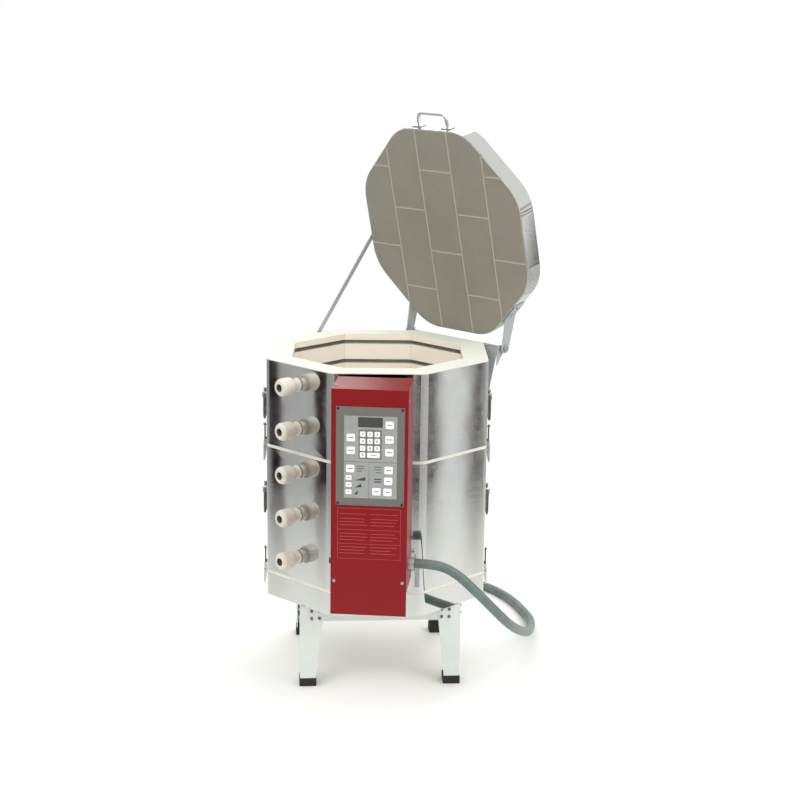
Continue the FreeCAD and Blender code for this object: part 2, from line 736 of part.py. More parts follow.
def latch_bail(joint):
    y = -latch_pivot_out - latch_link_out
    low = joint - latch_pivot_below - latch_link_down
    top = joint + latch_tab_above + latch_tab + latch_wire / 2 + pose_gap
    leg_x = cheek_in - latch_wire / 2 - 0.4
    points = [Vector(-cheek_out, y, low), Vector(-leg_x, y, low), Vector(-leg_x, y, top),
              Vector(leg_x, y, top), Vector(leg_x, y, low), Vector(cheek_out, y, low)]
    return bent_rod(points, [2.0, 4.0, 4.0, 2.0], latch_wire)


def latches():
    plates = []
    for side_name, side in side_faces:
        for level, joint in latch_joints:
            plates.append(on_face(latch_base(joint), side))
            plates.append(on_face(latch_keeper(joint), side))
            name = "%s_%s" % (side_name, level)
            parts["latch_lever_" + name] = on_face(latch_lever(joint), side)
            parts["latch_bail_" + name] = on_face(latch_bail(joint), side)
    parts["latch_plates"] = Part.makeCompound(plates)


# ---------------------------------------------------------------- control box, made shut, then ajar
box_right = box_left + box_width
box_back = -box_back_gap
box_front = box_back - box_depth
box_top = rim_z - box_top_below_rim
panel_low = box_top - panel_height
chassis_low = box_top - chassis_height
connector_height = chassis_low + connector_above_chassis
box_hinge_point = face_point(Vector(box_left - box_hinge_side, -box_hinge_back, 0), 0)
hook_height = connector_height - hook_below_connector
hinge_bands = (chassis_low + 90.0, box_top - 110.0)
box_axis_x, box_axis_y = box_left - box_hinge_side, -box_hinge_back


def ajar(shape, angle=box_ajar_angle):
    turned = on_face(shape, 0)
    turned.rotate(box_hinge_point, -Z_AXIS, angle)
    return turned


def chassis():
    """Side walls, bottom and back flanges; the back is open over the wire tails."""
    s = box_sheet
    front = box_front + s
    top = box_top - s
    corner = chassis_corner

    def side_wall(x):
        points = [Vector(x, box_back, top), Vector(x, front, top),
                  Vector(x, front, chassis_low + corner)]
        points += [Vector(x, front + corner - corner * math.cos(t), chassis_low + corner
                          - corner * math.sin(t)) for t in (math.pi / 8, math.pi / 4, 3 * math.pi / 8)]
        points += [Vector(x, front + corner, chassis_low), Vector(x, box_back, chassis_low)]
        return polygon_prism(points, Vector(s, 0, 0))

    shapes = [side_wall(box_left), side_wall(box_right - s)]
    shapes.append(block(box_left, box_right, front + corner, box_back, chassis_low, chassis_low + s))
    shapes.append(block(box_left, box_left + chassis_flange, box_back - s, box_back, chassis_low, top))
    shapes.append(block(box_right - chassis_flange, box_right, box_back - s, box_back,
                        chassis_low, top))
    for z in hinge_bands:
        for z_tab in (z - 4.0, z + knuckle_height + 0.5):
            shapes.append(block(box_axis_x, box_left + s, box_axis_y - knuckle_radius,
                                box_axis_y - knuckle_radius + 2.5, z_tab, z_tab + 3.5))
            shapes.append(rod(Vector(box_axis_x, box_axis_y, z_tab),
                              Vector(box_axis_x, box_axis_y, z_tab + 3.5), 2 * knuckle_radius))
            shapes.append(block(box_left, box_left + s, box_back, box_axis_y - knuckle_radius + 2.5,
                                z_tab, z_tab + 3.5))
        shapes.append(rod(Vector(box_axis_x, box_axis_y, z - 4.0),
                          Vector(box_axis_x, box_axis_y, z + knuckle_height + 4.0), box_pin))
    return fuse(shapes)


def box_electrics():
    s = box_sheet
    relay_z = chassis_low + 110.0
    relays = [block(box_left + s, box_left + s + 34, -112, -62, relay_z + 70 * i, relay_z + 70 * i + 50)
              for i in range(3)]
    parts["relays"] = ajar(Part.makeCompound(relays))
    parts["controller_board"] = ajar(fuse([
        block(box_left + 30, box_right - 30, box_front + 14, box_front + 15.6,
              box_top - fascia_below_top - fascia_height + 20, box_top - fascia_below_top - 20),
        block(box_left + 50, box_left + 95, box_front + 15.6, box_front + 45,
              box_top - fascia_below_top - 120, box_top - fascia_below_top - 70)]))
    block_z = chassis_low + 20.0
    rows = [block(-30, 40, -70, -40, block_z, block_z + 26)]
    rows += [block(-26 + 24 * i, -10 + 24 * i, -76, -70, block_z + 6, block_z + 20) for i in range(3)]
    rows.append(block(-30, 40, -70, -40, chassis_low + s, block_z))
    parts["terminal_block"] = ajar(fuse(rows))


def control_box():
    s = box_sheet
    parts["box_chassis"] = ajar(chassis())
    front = block(box_left, box_right, box_front, box_front + s, panel_low, box_top)
    cover = block(box_left, box_right, box_front, box_back, box_top - s, box_top)
    panel = fuse([front, cover])
    bend = [e for e in panel.Edges if abs(e.CenterOfMass.y - box_front) < 1e-3
            and abs(e.CenterOfMass.z - box_top) < 1e-3]
    parts["box_front_panel"] = ajar(panel.makeFillet(1.4, bend))

    fascia_x = box_left + fascia_side
    fascia_z = box_top - fascia_below_top - fascia_height
    fascia = block(fascia_x, fascia_x + fascia_width, box_front - fascia_sheet, box_front,
                   fascia_z, fascia_z + fascia_height)
    parts["control_fascia"] = ajar(fascia)
    over_x = fascia_x + overlay_side
    over_top = fascia_z + fascia_height - overlay_below
    face = box_front - fascia_sheet
    window_x, window_top = over_x + display_side, over_top - display_below
    overlay = block(over_x, over_x + overlay_width, face - overlay_sheet, face,
                    over_top - overlay_height, over_top)
    window = block(window_x, window_x + display_width, face - overlay_sheet, face,
                   window_top - display_height, window_top)
    parts["keypad_overlay"] = ajar(overlay.cut(window))
    parts["display_window"] = ajar(window)
    box_electrics()

    z = connector_height
    y = box_front + connector_from_front
    body = rod(Vector(box_right, y, z), Vector(box_right + connector_length, y, z), connector_diameter)
    nut = rod(Vector(box_right - s - 5, y, z), Vector(box_right - s, y, z), connector_nut)
    neck = rod(Vector(box_right - s, y, z), Vector(box_right, y, z), connector_neck)
    entry = rod(Vector(box_right - s, y, z), Vector(box_right, y, z), connector_neck + 2 * pose_gap)
    parts["box_chassis"] = parts["box_chassis"].cut(ajar(entry))
    parts["cord_connector"] = ajar(fuse([body, neck, nut]))
    cap_y = box_front + fuse_from_front
    inside, outside = Vector(box_left + s, cap_y, z), Vector(box_left, cap_y, z)
    cap = rod(outside, outside - X_AXIS * fuse_cap[1], fuse_cap[0])
    barrel = rod(inside, outside + X_AXIS * fuse_body[1], fuse_body[0])
    fuse_hole = rod(inside, outside, fuse_neck + 2 * pose_gap)
    parts["box_chassis"] = parts["box_chassis"].cut(ajar(fuse_hole))
    parts["fuse_holder"] = ajar(fuse([cap, rod(inside, outside, fuse_neck), barrel]))

    heads = []
    for x, z in ((box_left + 8.4, panel_low + panel_screw_above),
                 (box_right - 10, panel_low + panel_screw_above)):
        heads.append(rod(Vector(x, box_front, z), Vector(x, box_front - screw_head[1], z),
                         screw_head[0]))
    inset = fascia_screw_inset
    for x in (fascia_x + inset, fascia_x + fascia_width - inset):
        for z in (fascia_z + inset, fascia_z + fascia_height - inset):
            heads.append(rod(Vector(x, face, z), Vector(x, face - fascia_screw[1], z),
                             fascia_screw[0]))
    heads.append(rod(Vector(box_left + 8, box_front + 40, box_top),
                     Vector(box_left + 8, box_front + 40, box_top + screw_head[1]), screw_head[0]))
    heads.append(rod(Vector(box_right, box_front + 12, box_top - 30),
                     Vector(box_right + screw_head[1], box_front + 12, box_top - 30), screw_head[0]))
    parts["box_screws"] = ajar(Part.makeCompound(heads))

    hook_y, hook_z, x = box_front + hook_from_front, hook_height, box_right
    arm = block(x + 1.0, x + 4.0, hook_y - 4, hook_y + 24, hook_z - 4, hook_z + 4)
    tip = block(x + 1.0, x + 4.0, hook_y + 18, hook_y + 24, hook_z - 12, hook_z + 4)
    thumb = rod(Vector(x + 4, hook_y, hook_z), Vector(x + 14, hook_y, hook_z), 12.0)
    hook = fuse([arm, tip, thumb]).cut(
        rod(Vector(x, hook_y, hook_z), Vector(x + 3.0, hook_y, hook_z), 5.0))
    parts["box_latch_hook"] = ajar(hook)
    post = rod(Vector(x, hook_y, hook_z), Vector(x + 3.0 - pose_gap, hook_y, hook_z),
               5.0 - 2 * running_clearance)
    parts["box_chassis"] = fuse([parts["box_chassis"], ajar(post)])


def box_mount():
    """Heat shield on spacers, with the hinge knuckles and the latch bracket."""
    y_in, y_out = -shield_out, -shield_out - shield_sheet
    low, high = chassis_low + shield_margin[0], box_top - shield_margin[1]
    plate = block(box_axis_x + 6, box_right - 2, y_out, y_in, low, high)
    window = block(-window_half, window_half, y_out - 1, y_in + 1, low + 20, high - 6)
    shapes = [plate.cut(window)]
    for z in hinge_bands:
        tab = block(box_axis_x, box_axis_x + 8, y_out - 0.3, y_in - 0.5, z, z + knuckle_height)
        knuckle = rod(Vector(box_axis_x, box_axis_y, z),
                      Vector(box_axis_x, box_axis_y, z + knuckle_height), 2 * knuckle_radius)
        shapes += [tab, knuckle]
    for x in (box_axis_x + spacer_inset[0], box_right - spacer_inset[0]):
        for z in (low + spacer_inset[1], high - spacer_inset[1]):
            shapes.append(rod(Vector(x, 0, z), Vector(x, y_in, z), spacer_diameter))
    mount = fuse(shapes)
    pins = [rod(Vector(box_axis_x, box_axis_y, z - 6),
                Vector(box_axis_x, box_axis_y, z + knuckle_height + 6),
                box_pin + 2 * running_clearance) for z in hinge_bands]
    mount = mount.cut(pins)
    hook_z = hook_height
    bracket = [block(99, 111, -2.0, 0, hook_z - 72, hook_z + 4),
               block(99, 101, -44, 0, hook_z - 14, hook_z + 4)]
    bracket += [rod(Vector(105, -2, hook_z - z), Vector(105, -4, hook_z - z), 7.0) for z in (50, 63)]
    parts["box_mounting_plate"] = Part.makeCompound(
        [on_face(mount, 0), on_face(fuse(bracket), 0)])


# ---------------------------------------------------------------- supply cord
# Route of the cord's centre line, in the kiln's own frame, from the connector on the box's
# right side to the plug on the floor behind the kiln.
cord_points = [
    (147.9, -406.7, 400.0), (198.0, -414.0, 380.5), (262.0, -423.0, 321.0),
    (315.5, -383.0, 254.0), (348.5, -311.0, 203.0), (374.0, -233.0, 164.0),
    (394.5, -154.0, 130.0), (410.0, -72.0, 99.0), (423.0, 12.0, 71.0), (434.5, 96.5, 46.5),
    (445.0, 180.0, 28.0), (447.0, 260.5, 16.7), (434.0, 336.5, 12.4), (414.5, 408.5, 12.2),
    (387.0, 474.5, 12.2), (351.0, 533.0, 12.2), (306.0, 581.0, 12.2), (253.0, 615.0, 12.2),
    (193.0, 634.5, 12.6), (129.5, 638.0, 15.0)]
cord_end = (67.5, 626.0, 19.9)


def cord():
    exit_point = face_point(Vector(box_right + connector_length + pose_gap,
                                   box_front + connector_from_front, connector_height), 0)
    turn = Rotation(-Z_AXIS, box_ajar_angle)
    exit_point = box_hinge_point + turn.multVec(exit_point - box_hinge_point)
    points = [exit_point] + [Vector(*p) for p in cord_points] + [Vector(*cord_end)]
    radii = []
    for index in range(1, len(points) - 1):
        into, out = points[index] - points[index - 1], points[index + 1] - points[index]
        shorter = min(into.Length, out.Length)
        radii.append(0.45 * shorter / math.tan(into.getAngle(out) / 2))
    print("cord radii", [round(v) for v in radii])
    tube = bent_rod(points, radii, cord_diameter)
    print("cord volume / section", round(tube.Volume / (math.pi * cord_diameter ** 2 / 4), 1))
    parts["power_cord"] = tube

    away = (points[-1] - points[-2]).normalize()
    flat = Vector(away.x, away.y, 0).normalize()
    angle = math.degrees(math.atan2(flat.y, flat.x))
    body = fuse([
        Part.makeCone(cord_diameter / 2 + 2, 19.0, 30.0, Vector(0, 0, 0), X_AXIS),
        rod(Vector(30, 0, 0), Vector(72, 0, 0), 44.0)])
    blades = [block(72, 90, -14.0, -12.0, -6, 6), block(72, 90, 12.0, 14.0, -6, 6),
              rod(Vector(72, 0, -12), Vector(92, 0, -12), 6.0)]
    plug = fuse([body] + blades)
    plug.rotate(Vector(), Y_AXIS, -math.degrees(math.asin(away.z)))
    plug.rotate(Vector(), Z_AXIS, angle)
    plug.translate(points[-1])
    parts["power_plug"] = plug


def build():
    stand()
    kiln_body()
    heating()
    peephole_plugs()
    hinge_on_body()
    lid()
    brace()
    handles()
    latches()
    control_box()
    box_mount()
    cord()


build()
cord_nodes = ("power_cord", "power_plug")
whole = Part.makeCompound([s for n, s in parts.items() if n not in cord_nodes]).BoundBox
shift = Vector(-(whole.XMin + whole.XMax) / 2, -(whole.YMin + whole.YMax) / 2, -whole.ZMin)
print("shift", shift, "size", whole.XLength, whole.YLength, whole.ZLength)
os.makedirs("parts", exist_ok=True)
for name, shape in parts.items():
    shape.translate(shift)
    shape.exportStep("parts/%s.step" % name)
print(len(parts), "nodes")
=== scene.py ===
import json
import math
import random

import bmesh
import bpy
from mathutils import Matrix, Vector

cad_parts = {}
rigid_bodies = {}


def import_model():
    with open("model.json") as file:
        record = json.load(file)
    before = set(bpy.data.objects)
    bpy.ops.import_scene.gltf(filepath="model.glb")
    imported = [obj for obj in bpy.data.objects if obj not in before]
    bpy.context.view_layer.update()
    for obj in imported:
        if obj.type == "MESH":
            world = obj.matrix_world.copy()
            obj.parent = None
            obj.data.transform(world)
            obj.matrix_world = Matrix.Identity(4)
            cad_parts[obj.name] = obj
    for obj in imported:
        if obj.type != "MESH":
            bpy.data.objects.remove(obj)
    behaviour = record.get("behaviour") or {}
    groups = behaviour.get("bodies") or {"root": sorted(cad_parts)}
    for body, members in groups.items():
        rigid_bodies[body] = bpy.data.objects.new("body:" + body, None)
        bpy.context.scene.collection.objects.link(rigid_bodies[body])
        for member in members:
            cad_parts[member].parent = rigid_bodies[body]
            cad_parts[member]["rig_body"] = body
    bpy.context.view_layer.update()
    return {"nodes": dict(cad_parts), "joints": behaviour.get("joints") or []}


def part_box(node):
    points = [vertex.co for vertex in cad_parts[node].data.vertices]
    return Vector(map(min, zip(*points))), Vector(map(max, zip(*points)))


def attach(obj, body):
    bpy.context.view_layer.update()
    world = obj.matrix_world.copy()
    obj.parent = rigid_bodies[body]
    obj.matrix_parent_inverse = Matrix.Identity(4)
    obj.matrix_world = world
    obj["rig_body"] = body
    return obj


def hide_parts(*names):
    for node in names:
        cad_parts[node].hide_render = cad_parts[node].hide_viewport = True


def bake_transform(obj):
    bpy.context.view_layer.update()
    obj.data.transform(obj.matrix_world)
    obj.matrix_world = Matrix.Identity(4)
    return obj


# Eight-sided electric pottery kiln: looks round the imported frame. Metres, +Z up.

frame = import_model()
mm = 0.001
joints = {joint["name"]: joint for joint in frame["joints"]}
scene = bpy.context.scene
print("frame loaded")


# ---- places taken from the frame
ringLow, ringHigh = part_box("lower_ring_brick")
kilnAxis = Vector(((ringLow.x + ringHigh.x) / 2, (ringLow.y + ringHigh.y) / 2, 0))
jacketLow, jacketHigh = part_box("lower_ring_jacket")
apothem = (jacketHigh.x - jacketLow.x) / 2
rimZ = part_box("upper_ring_brick")[1].z


def turnAbout(point, axis, degrees):
    spin = Matrix.Rotation(math.radians(degrees), 4, Vector(axis))
    return Matrix.Translation(point) @ spin @ Matrix.Translation(-Vector(point))


def sideMatrix(side):
    # local x along the side, -y outward, side 0 is the front
    return (Matrix.Translation(kilnAxis) @ Matrix.Rotation(math.radians(45 * side), 4, "Z")
            @ Matrix.Translation((0, -apothem, 0)))


lidJoint, boxJoint = joints["lid_hinge"], joints["box_hinge"]
lidMatrix = turnAbout(Vector(lidJoint["pos_m"]), lidJoint["axis"], -lidJoint["range_deg"][0])
boxMatrix = turnAbout(Vector(boxJoint["pos_m"]), (0, 0, 1), boxJoint["range_deg"][0]) @ sideMatrix(0)


def localBox(node, matrix):
    back = matrix.inverted()
    points = [back @ v.co for v in frame["nodes"][node].data.vertices]
    low = Vector([min(p[i] for p in points) for i in range(3)])
    high = Vector([max(p[i] for p in points) for i in range(3)])
    return low, high


# ---- small helpers
def hexColour(text):
    values = [int(text[i:i + 2], 16) / 255 for i in (1, 3, 5)]
    return [v / 12.92 if v <= 0.04045 else ((v + 0.055) / 1.055) ** 2.4 for v in values] + [1.0]


def addNode(tree, kind, inputs=None, **settings):
    node = tree.nodes.new(kind)
    for name, value in settings.items():
        setattr(node, name, value)
    for key, value in (inputs or {}).items():
        if isinstance(value, bpy.types.NodeSocket):
            tree.links.new(value, node.inputs[key])
        else:
            node.inputs[key].default_value = value
    return node


def startMaterial(name, colour, metallic=0.0, roughness=0.5, **more):
    material = bpy.data.materials.new(name)
    material.use_nodes = True
    tree = material.node_tree
    tree.nodes.clear()
    bsdf = addNode(tree, "ShaderNodeBsdfPrincipled",
                   {"Base Color": hexColour(colour), "Metallic": metallic, "Roughness": roughness})
    for key, value in more.items():
        bsdf.inputs[key.replace("_", " ")].default_value = value
    addNode(tree, "ShaderNodeOutputMaterial", {"Surface": bsdf.outputs[0]})
    place = addNode(tree, "ShaderNodeTexCoord").outputs["Object"]
    return material, tree, bsdf, place


def noiseOf(tree, place, size, detail=4.0, roughness=0.55, stretch=(1, 1, 1)):
    # size is the width of one blotch in metres
    spot = addNode(tree, "ShaderNodeMapping", {"Vector": place, "Scale": stretch}).outputs[0]
    return addNode(tree, "ShaderNodeTexNoise", {"Vector": spot, "Scale": 1 / size, "Detail": detail,
                                                "Roughness": roughness}).outputs["Fac"]


def rampOf(tree, value, stops):
    ramp = addNode(tree, "ShaderNodeValToRGB", {"Fac": value})
    band = ramp.color_ramp
    while len(band.elements) < len(stops):
        band.elements.new(0.5)
    for element, (at, colour) in zip(band.elements, stops):
        element.position = at
        element.color = hexColour(colour) if isinstance(colour, str) else [colour] * 3 + [1]
    return ramp.outputs["Color"]


def bumpFrom(tree, bsdf, height, distance, strength=1.0, base=None):
    inputs = {"Height": height, "Distance": distance, "Strength": strength}
    if base is not None:
        inputs["Normal"] = base
    bump = addNode(tree, "ShaderNodeBump", inputs).outputs[0]
    tree.links.new(bump, bsdf.inputs["Normal"])
    return bump


def mathOf(tree, operation, *values):
    return addNode(tree, "ShaderNodeMath", dict(enumerate(values)), operation=operation).outputs[0]


# ---- materials
brickSetup = {"patch": 0.11, "pore": 0.0025, "grit": 0.004, "clump": 0.012}


def insulatingFirebrick(name, light, warm, dark):
    # Sawn insulating firebrick: chalky, open-pored, no gloss, with warmer patches from firing.
    # Real pores are about 1 mm; they are drawn at 2.5 mm so that they show.
    material, tree, bsdf, place = startMaterial(name, light, roughness=0.95, Specular_IOR_Level=0.2)
    patches = rampOf(tree, noiseOf(tree, place, brickSetup["patch"]),
                     [(0.35, light), (0.62, warm), (0.85, light)])
    pores = addNode(tree, "ShaderNodeTexVoronoi",
                    {"Vector": place, "Scale": 1 / brickSetup["pore"]}).outputs["Distance"]
    pit = rampOf(tree, pores, [(0.1, 0.0), (0.26, 1.0)])
    grit = noiseOf(tree, place, brickSetup["grit"], 6.0, 0.7)
    few = rampOf(tree, noiseOf(tree, place, brickSetup["clump"]), [(0.5, 1.0), (0.62, 0.0)])
    holes = mathOf(tree, "MAXIMUM", pit, few)
    # the pores take the last, darker colour: painted shade inside the holes
    shade = addNode(tree, "ShaderNodeMix", {"Factor": holes, 6: hexColour(dark), 7: patches},
                    data_type="RGBA").outputs[2]
    tree.links.new(shade, bsdf.inputs["Base Color"])
    first = bumpFrom(tree, bsdf, grit, 0.0004, 0.6)
    bumpFrom(tree, bsdf, holes, 0.0008, 0.6, first)
    return material


wallSetup = {"course": 0.1143, "rimBand": 0.002, "firedFrom": 0.0605, "firedShare": 0.8, "line": 0.004}


def wallFirebrick():
    # The wall's bricks meet at mitred corners: a thin line of shadow down each one and along
    # each course, 114 mm apart.
    material = insulatingFirebrick("wall firebrick", "#E7EADE", "#E5E5D8", "#CCCABA")
    tree = material.node_tree
    bsdf = next(n for n in tree.nodes if n.type == "BSDF_PRINCIPLED")
    place = next(n for n in tree.nodes if n.type == "TEX_COORD").outputs["Object"]
    centred = addNode(tree, "ShaderNodeMapping", {"Vector": place, "Location": -kilnAxis}).outputs[0]
    axes = addNode(tree, "ShaderNodeSeparateXYZ", {0: centred}).outputs
    angle = mathOf(tree, "ARCTAN2", axes[1], axes[0])
    eighth = math.pi / 4
    turned = mathOf(tree, "PINGPONG", mathOf(tree, "ADD", angle, math.pi + eighth / 2), eighth / 2)
    radius = mathOf(tree, "SQRT", mathOf(tree, "ADD", mathOf(tree, "MULTIPLY", axes[0], axes[0]),
                                         mathOf(tree, "MULTIPLY", axes[1], axes[1])))
    aside = mathOf(tree, "MULTIPLY", radius, turned)
    course = wallSetup["course"]
    down = mathOf(tree, "PINGPONG", mathOf(tree, "SUBTRACT", rimZ + course * 8, axes[2]), course / 2)
    onRim = mathOf(tree, "GREATER_THAN", axes[2], rimZ - wallSetup["rimBand"])
    near = mathOf(tree, "MINIMUM", aside, mathOf(tree, "ADD", down, onRim))
    line = rampOf(tree, mathOf(tree, "MULTIPLY", near, 1 / wallSetup["line"]), [(0.1, 0.0), (0.3, 1.0)])
    # the fired face inside the chamber, and 3 mm of the rim beside it, is warmer than the sawn rim
    fromSide = mathOf(tree, "SUBTRACT", eighth / 2, turned)
    reach = mathOf(tree, "MULTIPLY", radius, mathOf(tree, "COSINE", fromSide))
    fired = mathOf(tree, "LESS_THAN", reach, (ringHigh.x - ringLow.x) / 2 - wallSetup["firedFrom"])
    share = mathOf(tree, "MULTIPLY", fired, wallSetup["firedShare"])
    sawn = bsdf.inputs["Base Color"].links[0].from_socket
    warmed = addNode(tree, "ShaderNodeMix", {"Factor": share, 6: sawn, 7: hexColour("#FBF1E2")},
                     data_type="RGBA").outputs[2]
    shade = addNode(tree, "ShaderNodeMix", {"Factor": line, 6: hexColour("#DED5C6"), 7: warmed},
                    data_type="RGBA").outputs[2]
    tree.links.new(shade, bsdf.inputs["Base Color"])
    return material


def brightStainless():
    # Bright-annealed stainless sheet, rolled lengthways: a soft mirror with a faint grain and
    # a slight waviness that bends what it reflects.
    material, tree, bsdf, place = startMaterial("stainless sheet", "#CDCFCB", 1.0, 0.06)
    grain = noiseOf(tree, place, 0.0012, 3.0, 0.6, (0.02, 0.02, 1))
    smear = rampOf(tree, noiseOf(tree, place, 0.05, 3.0), [(0.3, 0.02), (0.75, 0.045)])
    tree.links.new(smear, bsdf.inputs["Roughness"])
    wave = noiseOf(tree, place, 0.13, 1.0, 0.4)
    first = bumpFrom(tree, bsdf, wave, 0.00014, 1.0)
    bumpFrom(tree, bsdf, grain, 0.00002, 0.5, first)
    return material


def powderCoat(name, colour, roughness, coat):
    # Baked powder coat: an even colour under a fine orange peel about 3 mm across.
    material, tree, bsdf, place = startMaterial(name, colour, roughness=roughness, Coat_Weight=coat,
                                                Coat_Roughness=0.08)
    peel = noiseOf(tree, place, 0.003, 2.0, 0.5)
    tone = noiseOf(tree, place, 0.09, 3.0)
    base = hexColour(colour)
    lighter = [min(1.0, v * 1.10) for v in base[:3]] + [1]
    deeper = [v * 0.92 for v in base[:3]] + [1]
    shade = addNode(tree, "ShaderNodeMix", {"Factor": tone, 6: deeper, 7: lighter},
                    data_type="RGBA").outputs[2]
    tree.links.new(shade, bsdf.inputs["Base Color"])
    bumpFrom(tree, bsdf, peel, 0.00012, 0.35)
    bsdf.inputs["Specular IOR Level"].default_value = 0.3
    return material


def platedSteel(name, colour, roughness):
    # Plated mild steel: metallic, a little cloudy, with fine handling marks.
    material, tree, bsdf, place = startMaterial(name, colour, 1.0, roughness)
    cloud = rampOf(tree, noiseOf(tree, place, 0.012, 5.0),
                   [(0.3, roughness * 0.75), (0.8, min(1.0, roughness * 1.5))])
    tree.links.new(cloud, bsdf.inputs["Roughness"])
    marks = noiseOf(tree, place, 0.0015, 4.0, 0.6, (1, 1, 0.15))
    bumpFrom(tree, bsdf, marks, 0.00005, 0.4)
    return material


def mouldedPolymer(name, colour, roughness, grainSize=0.0008, depth=0.00008):
    # Moulded rubber or plastic: soft sheen over a fine tool texture.
    material, tree, bsdf, place = startMaterial(name, colour, roughness=roughness)
    base = hexColour(colour)
    tone = noiseOf(tree, place, 0.02, 4.0)
    worn = [min(1.0, v * 1.35 + 0.004) for v in base[:3]] + [1]
    shade = addNode(tree, "ShaderNodeMix", {"Factor": tone, 6: base, 7: worn},
                    data_type="RGBA").outputs[2]
    tree.links.new(shade, bsdf.inputs["Base Color"])
    bumpFrom(tree, bsdf, noiseOf(tree, place, grainSize, 3.0), depth, 0.5)
    return material


def glazedPorcelain():
    # Slip-cast porcelain with a thin satin glaze: warm white, a broad soft highlight.
    material, tree, bsdf, place = startMaterial("glazed porcelain", "#F2EEE3", roughness=0.38,
                                                Coat_Weight=0.35, Coat_Roughness=0.2)
    tone = rampOf(tree, noiseOf(tree, place, 0.03, 3.0), [(0.3, "#E3E1D5"), (0.8, "#D6CDBE")])
    tree.links.new(tone, bsdf.inputs["Base Color"])
    bumpFrom(tree, bsdf, noiseOf(tree, place, 0.006, 4.0), 0.0002, 0.25)
    return material


def oxidisedWire():
    # Iron-chromium-aluminium heating wire after firing: dark, dull grey-brown oxide.
    material, tree, bsdf, place = startMaterial("oxidised heating wire", "#5A4A40", 0.6, 0.6)
    tone = rampOf(tree, noiseOf(tree, place, 0.01, 4.0), [(0.3, "#4A3C34"), (0.75, "#75655A")])
    tree.links.new(tone, bsdf.inputs["Base Color"])
    return material


def cordJacket():
    # Thermoset rubber jacket of a heavy supply cord: grey with a green cast, satin, chalky dust.
    material, tree, bsdf, place = startMaterial("rubber cord jacket", "#66746F", roughness=0.42)
    tone = rampOf(tree, noiseOf(tree, place, 0.035, 4.0), [(0.3, "#586661"), (0.72, "#70807B")])
    tree.links.new(tone, bsdf.inputs["Base Color"])
    bumpFrom(tree, bsdf, noiseOf(tree, place, 0.003, 3.0), 0.0002, 0.3)
    return material


def smokedWindow():
    # Smoked acrylic over the display: near black with a soft sheen, and no digits lit.
    material, tree, bsdf, place = startMaterial("smoked acrylic", "#1A1211", roughness=0.22,
                                                Specular_IOR_Level=0.25)
    tone = rampOf(tree, noiseOf(tree, place, 0.02, 2.0), [(0.35, "#150E0D"), (0.75, "#221817")])
    tree.links.new(tone, bsdf.inputs["Base Color"])
    return material


# the last colour given to each firebrick is painted shade for its pores
firebrick = wallFirebrick()
slabBrick = insulatingFirebrick("floor firebrick", "#EFEBE0", "#E9E0D0", "#C8BDAB")
lidBrick = insulatingFirebrick("lid firebrick, fired grey", "#908E83", "#999386", "#757064")
lidCement = insulatingFirebrick("brick cement", "#A3A095", "#A8A398", "#8A8579")
stainless = brightStainless()
redEnamel = powderCoat("red enamel", "#84060F", 0.36, 0.06)
standPaint = powderCoat("pale stand enamel", "#D9E1DB", 0.4, 0.2)
greyBracketPaint = powderCoat("grey bracket enamel", "#A9AFAD", 0.35, 0.3)
fasciaPaint = powderCoat("grey fascia enamel", "#706F69", 0.45, 0.1)
keypadFilm = mouldedPolymer("polyester keypad film", "#939590", 0.42, 0.0006, 0.00003)
keypadInk = mouldedPolymer("dark grey keypad print", "#6B6E6C", 0.5)
keyFilm = mouldedPolymer("white key film", "#EDEEEA", 0.4)
printInk = mouldedPolymer("black keypad print", "#3A3B3B", 0.5)
palePrint = mouldedPolymer("pale print on red", "#B0484D", 0.5)
displayFilter = smokedWindow()
zincSteel = platedSteel("zinc plated steel", "#B9B9BA", 0.32)
darkZinc = platedSteel("dark zinc wire", "#6E6D6C", 0.35)
nickelSteel = platedSteel("nickel plated steel", "#C4C1BA", 0.2)
chromeSteel = platedSteel("chromed steel", "#DAD8D6", 0.06)
blackPlastic = mouldedPolymer("black nylon", "#161616", 0.45)
footRubber = mouldedPolymer("black foot rubber", "#191918", 0.7, 0.0015, 0.0002)
terminalPlastic = mouldedPolymer("melamine terminal block", "#A59B80", 0.5)
boardLaminate = mouldedPolymer("green circuit board", "#1F5B3A", 0.35)
porcelain = glazedPorcelain()
# dark grey-brown for the deep part of each plug's bore: painted shade for the depth of the hole
boreShadePaint = mouldedPolymer("plug bore painted shade", "#5B564C", 0.8)
heatingWire = oxidisedWire()
cordRubber = cordJacket()
print("materials made")


# ---- piece helpers
def addPiece(name, mesh, material, body, replaced=()):
    piece = bpy.data.objects.new(name, mesh)
    scene.collection.objects.link(piece)
    mesh.materials.clear()
    mesh.materials.append(material)
    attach(piece, body)
    if replaced:
        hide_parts(*replaced)
    return piece


def meshOf(bm, name, angle=35.0, matrix=None):
    if matrix is not None:
        bmesh.ops.transform(bm, matrix=matrix, verts=bm.verts)
    bmesh.ops.recalc_face_normals(bm, faces=bm.faces)
    mesh = bpy.data.meshes.new(name)
    bm.to_mesh(mesh)
    bm.free()
    mesh.shade_smooth()
    mesh.set_sharp_from_angle(angle=math.radians(angle))
    return mesh


def bevelled(piece, width, segments=2, angle=30.0):
    bevel = piece.modifiers.new("edges", "BEVEL")
    bevel.width = width
    bevel.segments = segments
    bevel.limit_method = "ANGLE"
    bevel.angle_limit = math.radians(angle)
    bevel.harden_normals = False
    weighted = piece.modifiers.new("flats", "WEIGHTED_NORMAL")
    weighted.keep_sharp = True


def mergedCopy(node):
    # a frame node's faces, joined where its triangles lie in one plane
    bm = bmesh.new()
    bm.from_mesh(frame["nodes"][node].data)
    bmesh.ops.remove_doubles(bm, verts=bm.verts, dist=2e-6)
    bmesh.ops.dissolve_limit(bm, angle_limit=math.radians(0.6), verts=bm.verts, edges=bm.edges)
    return bm


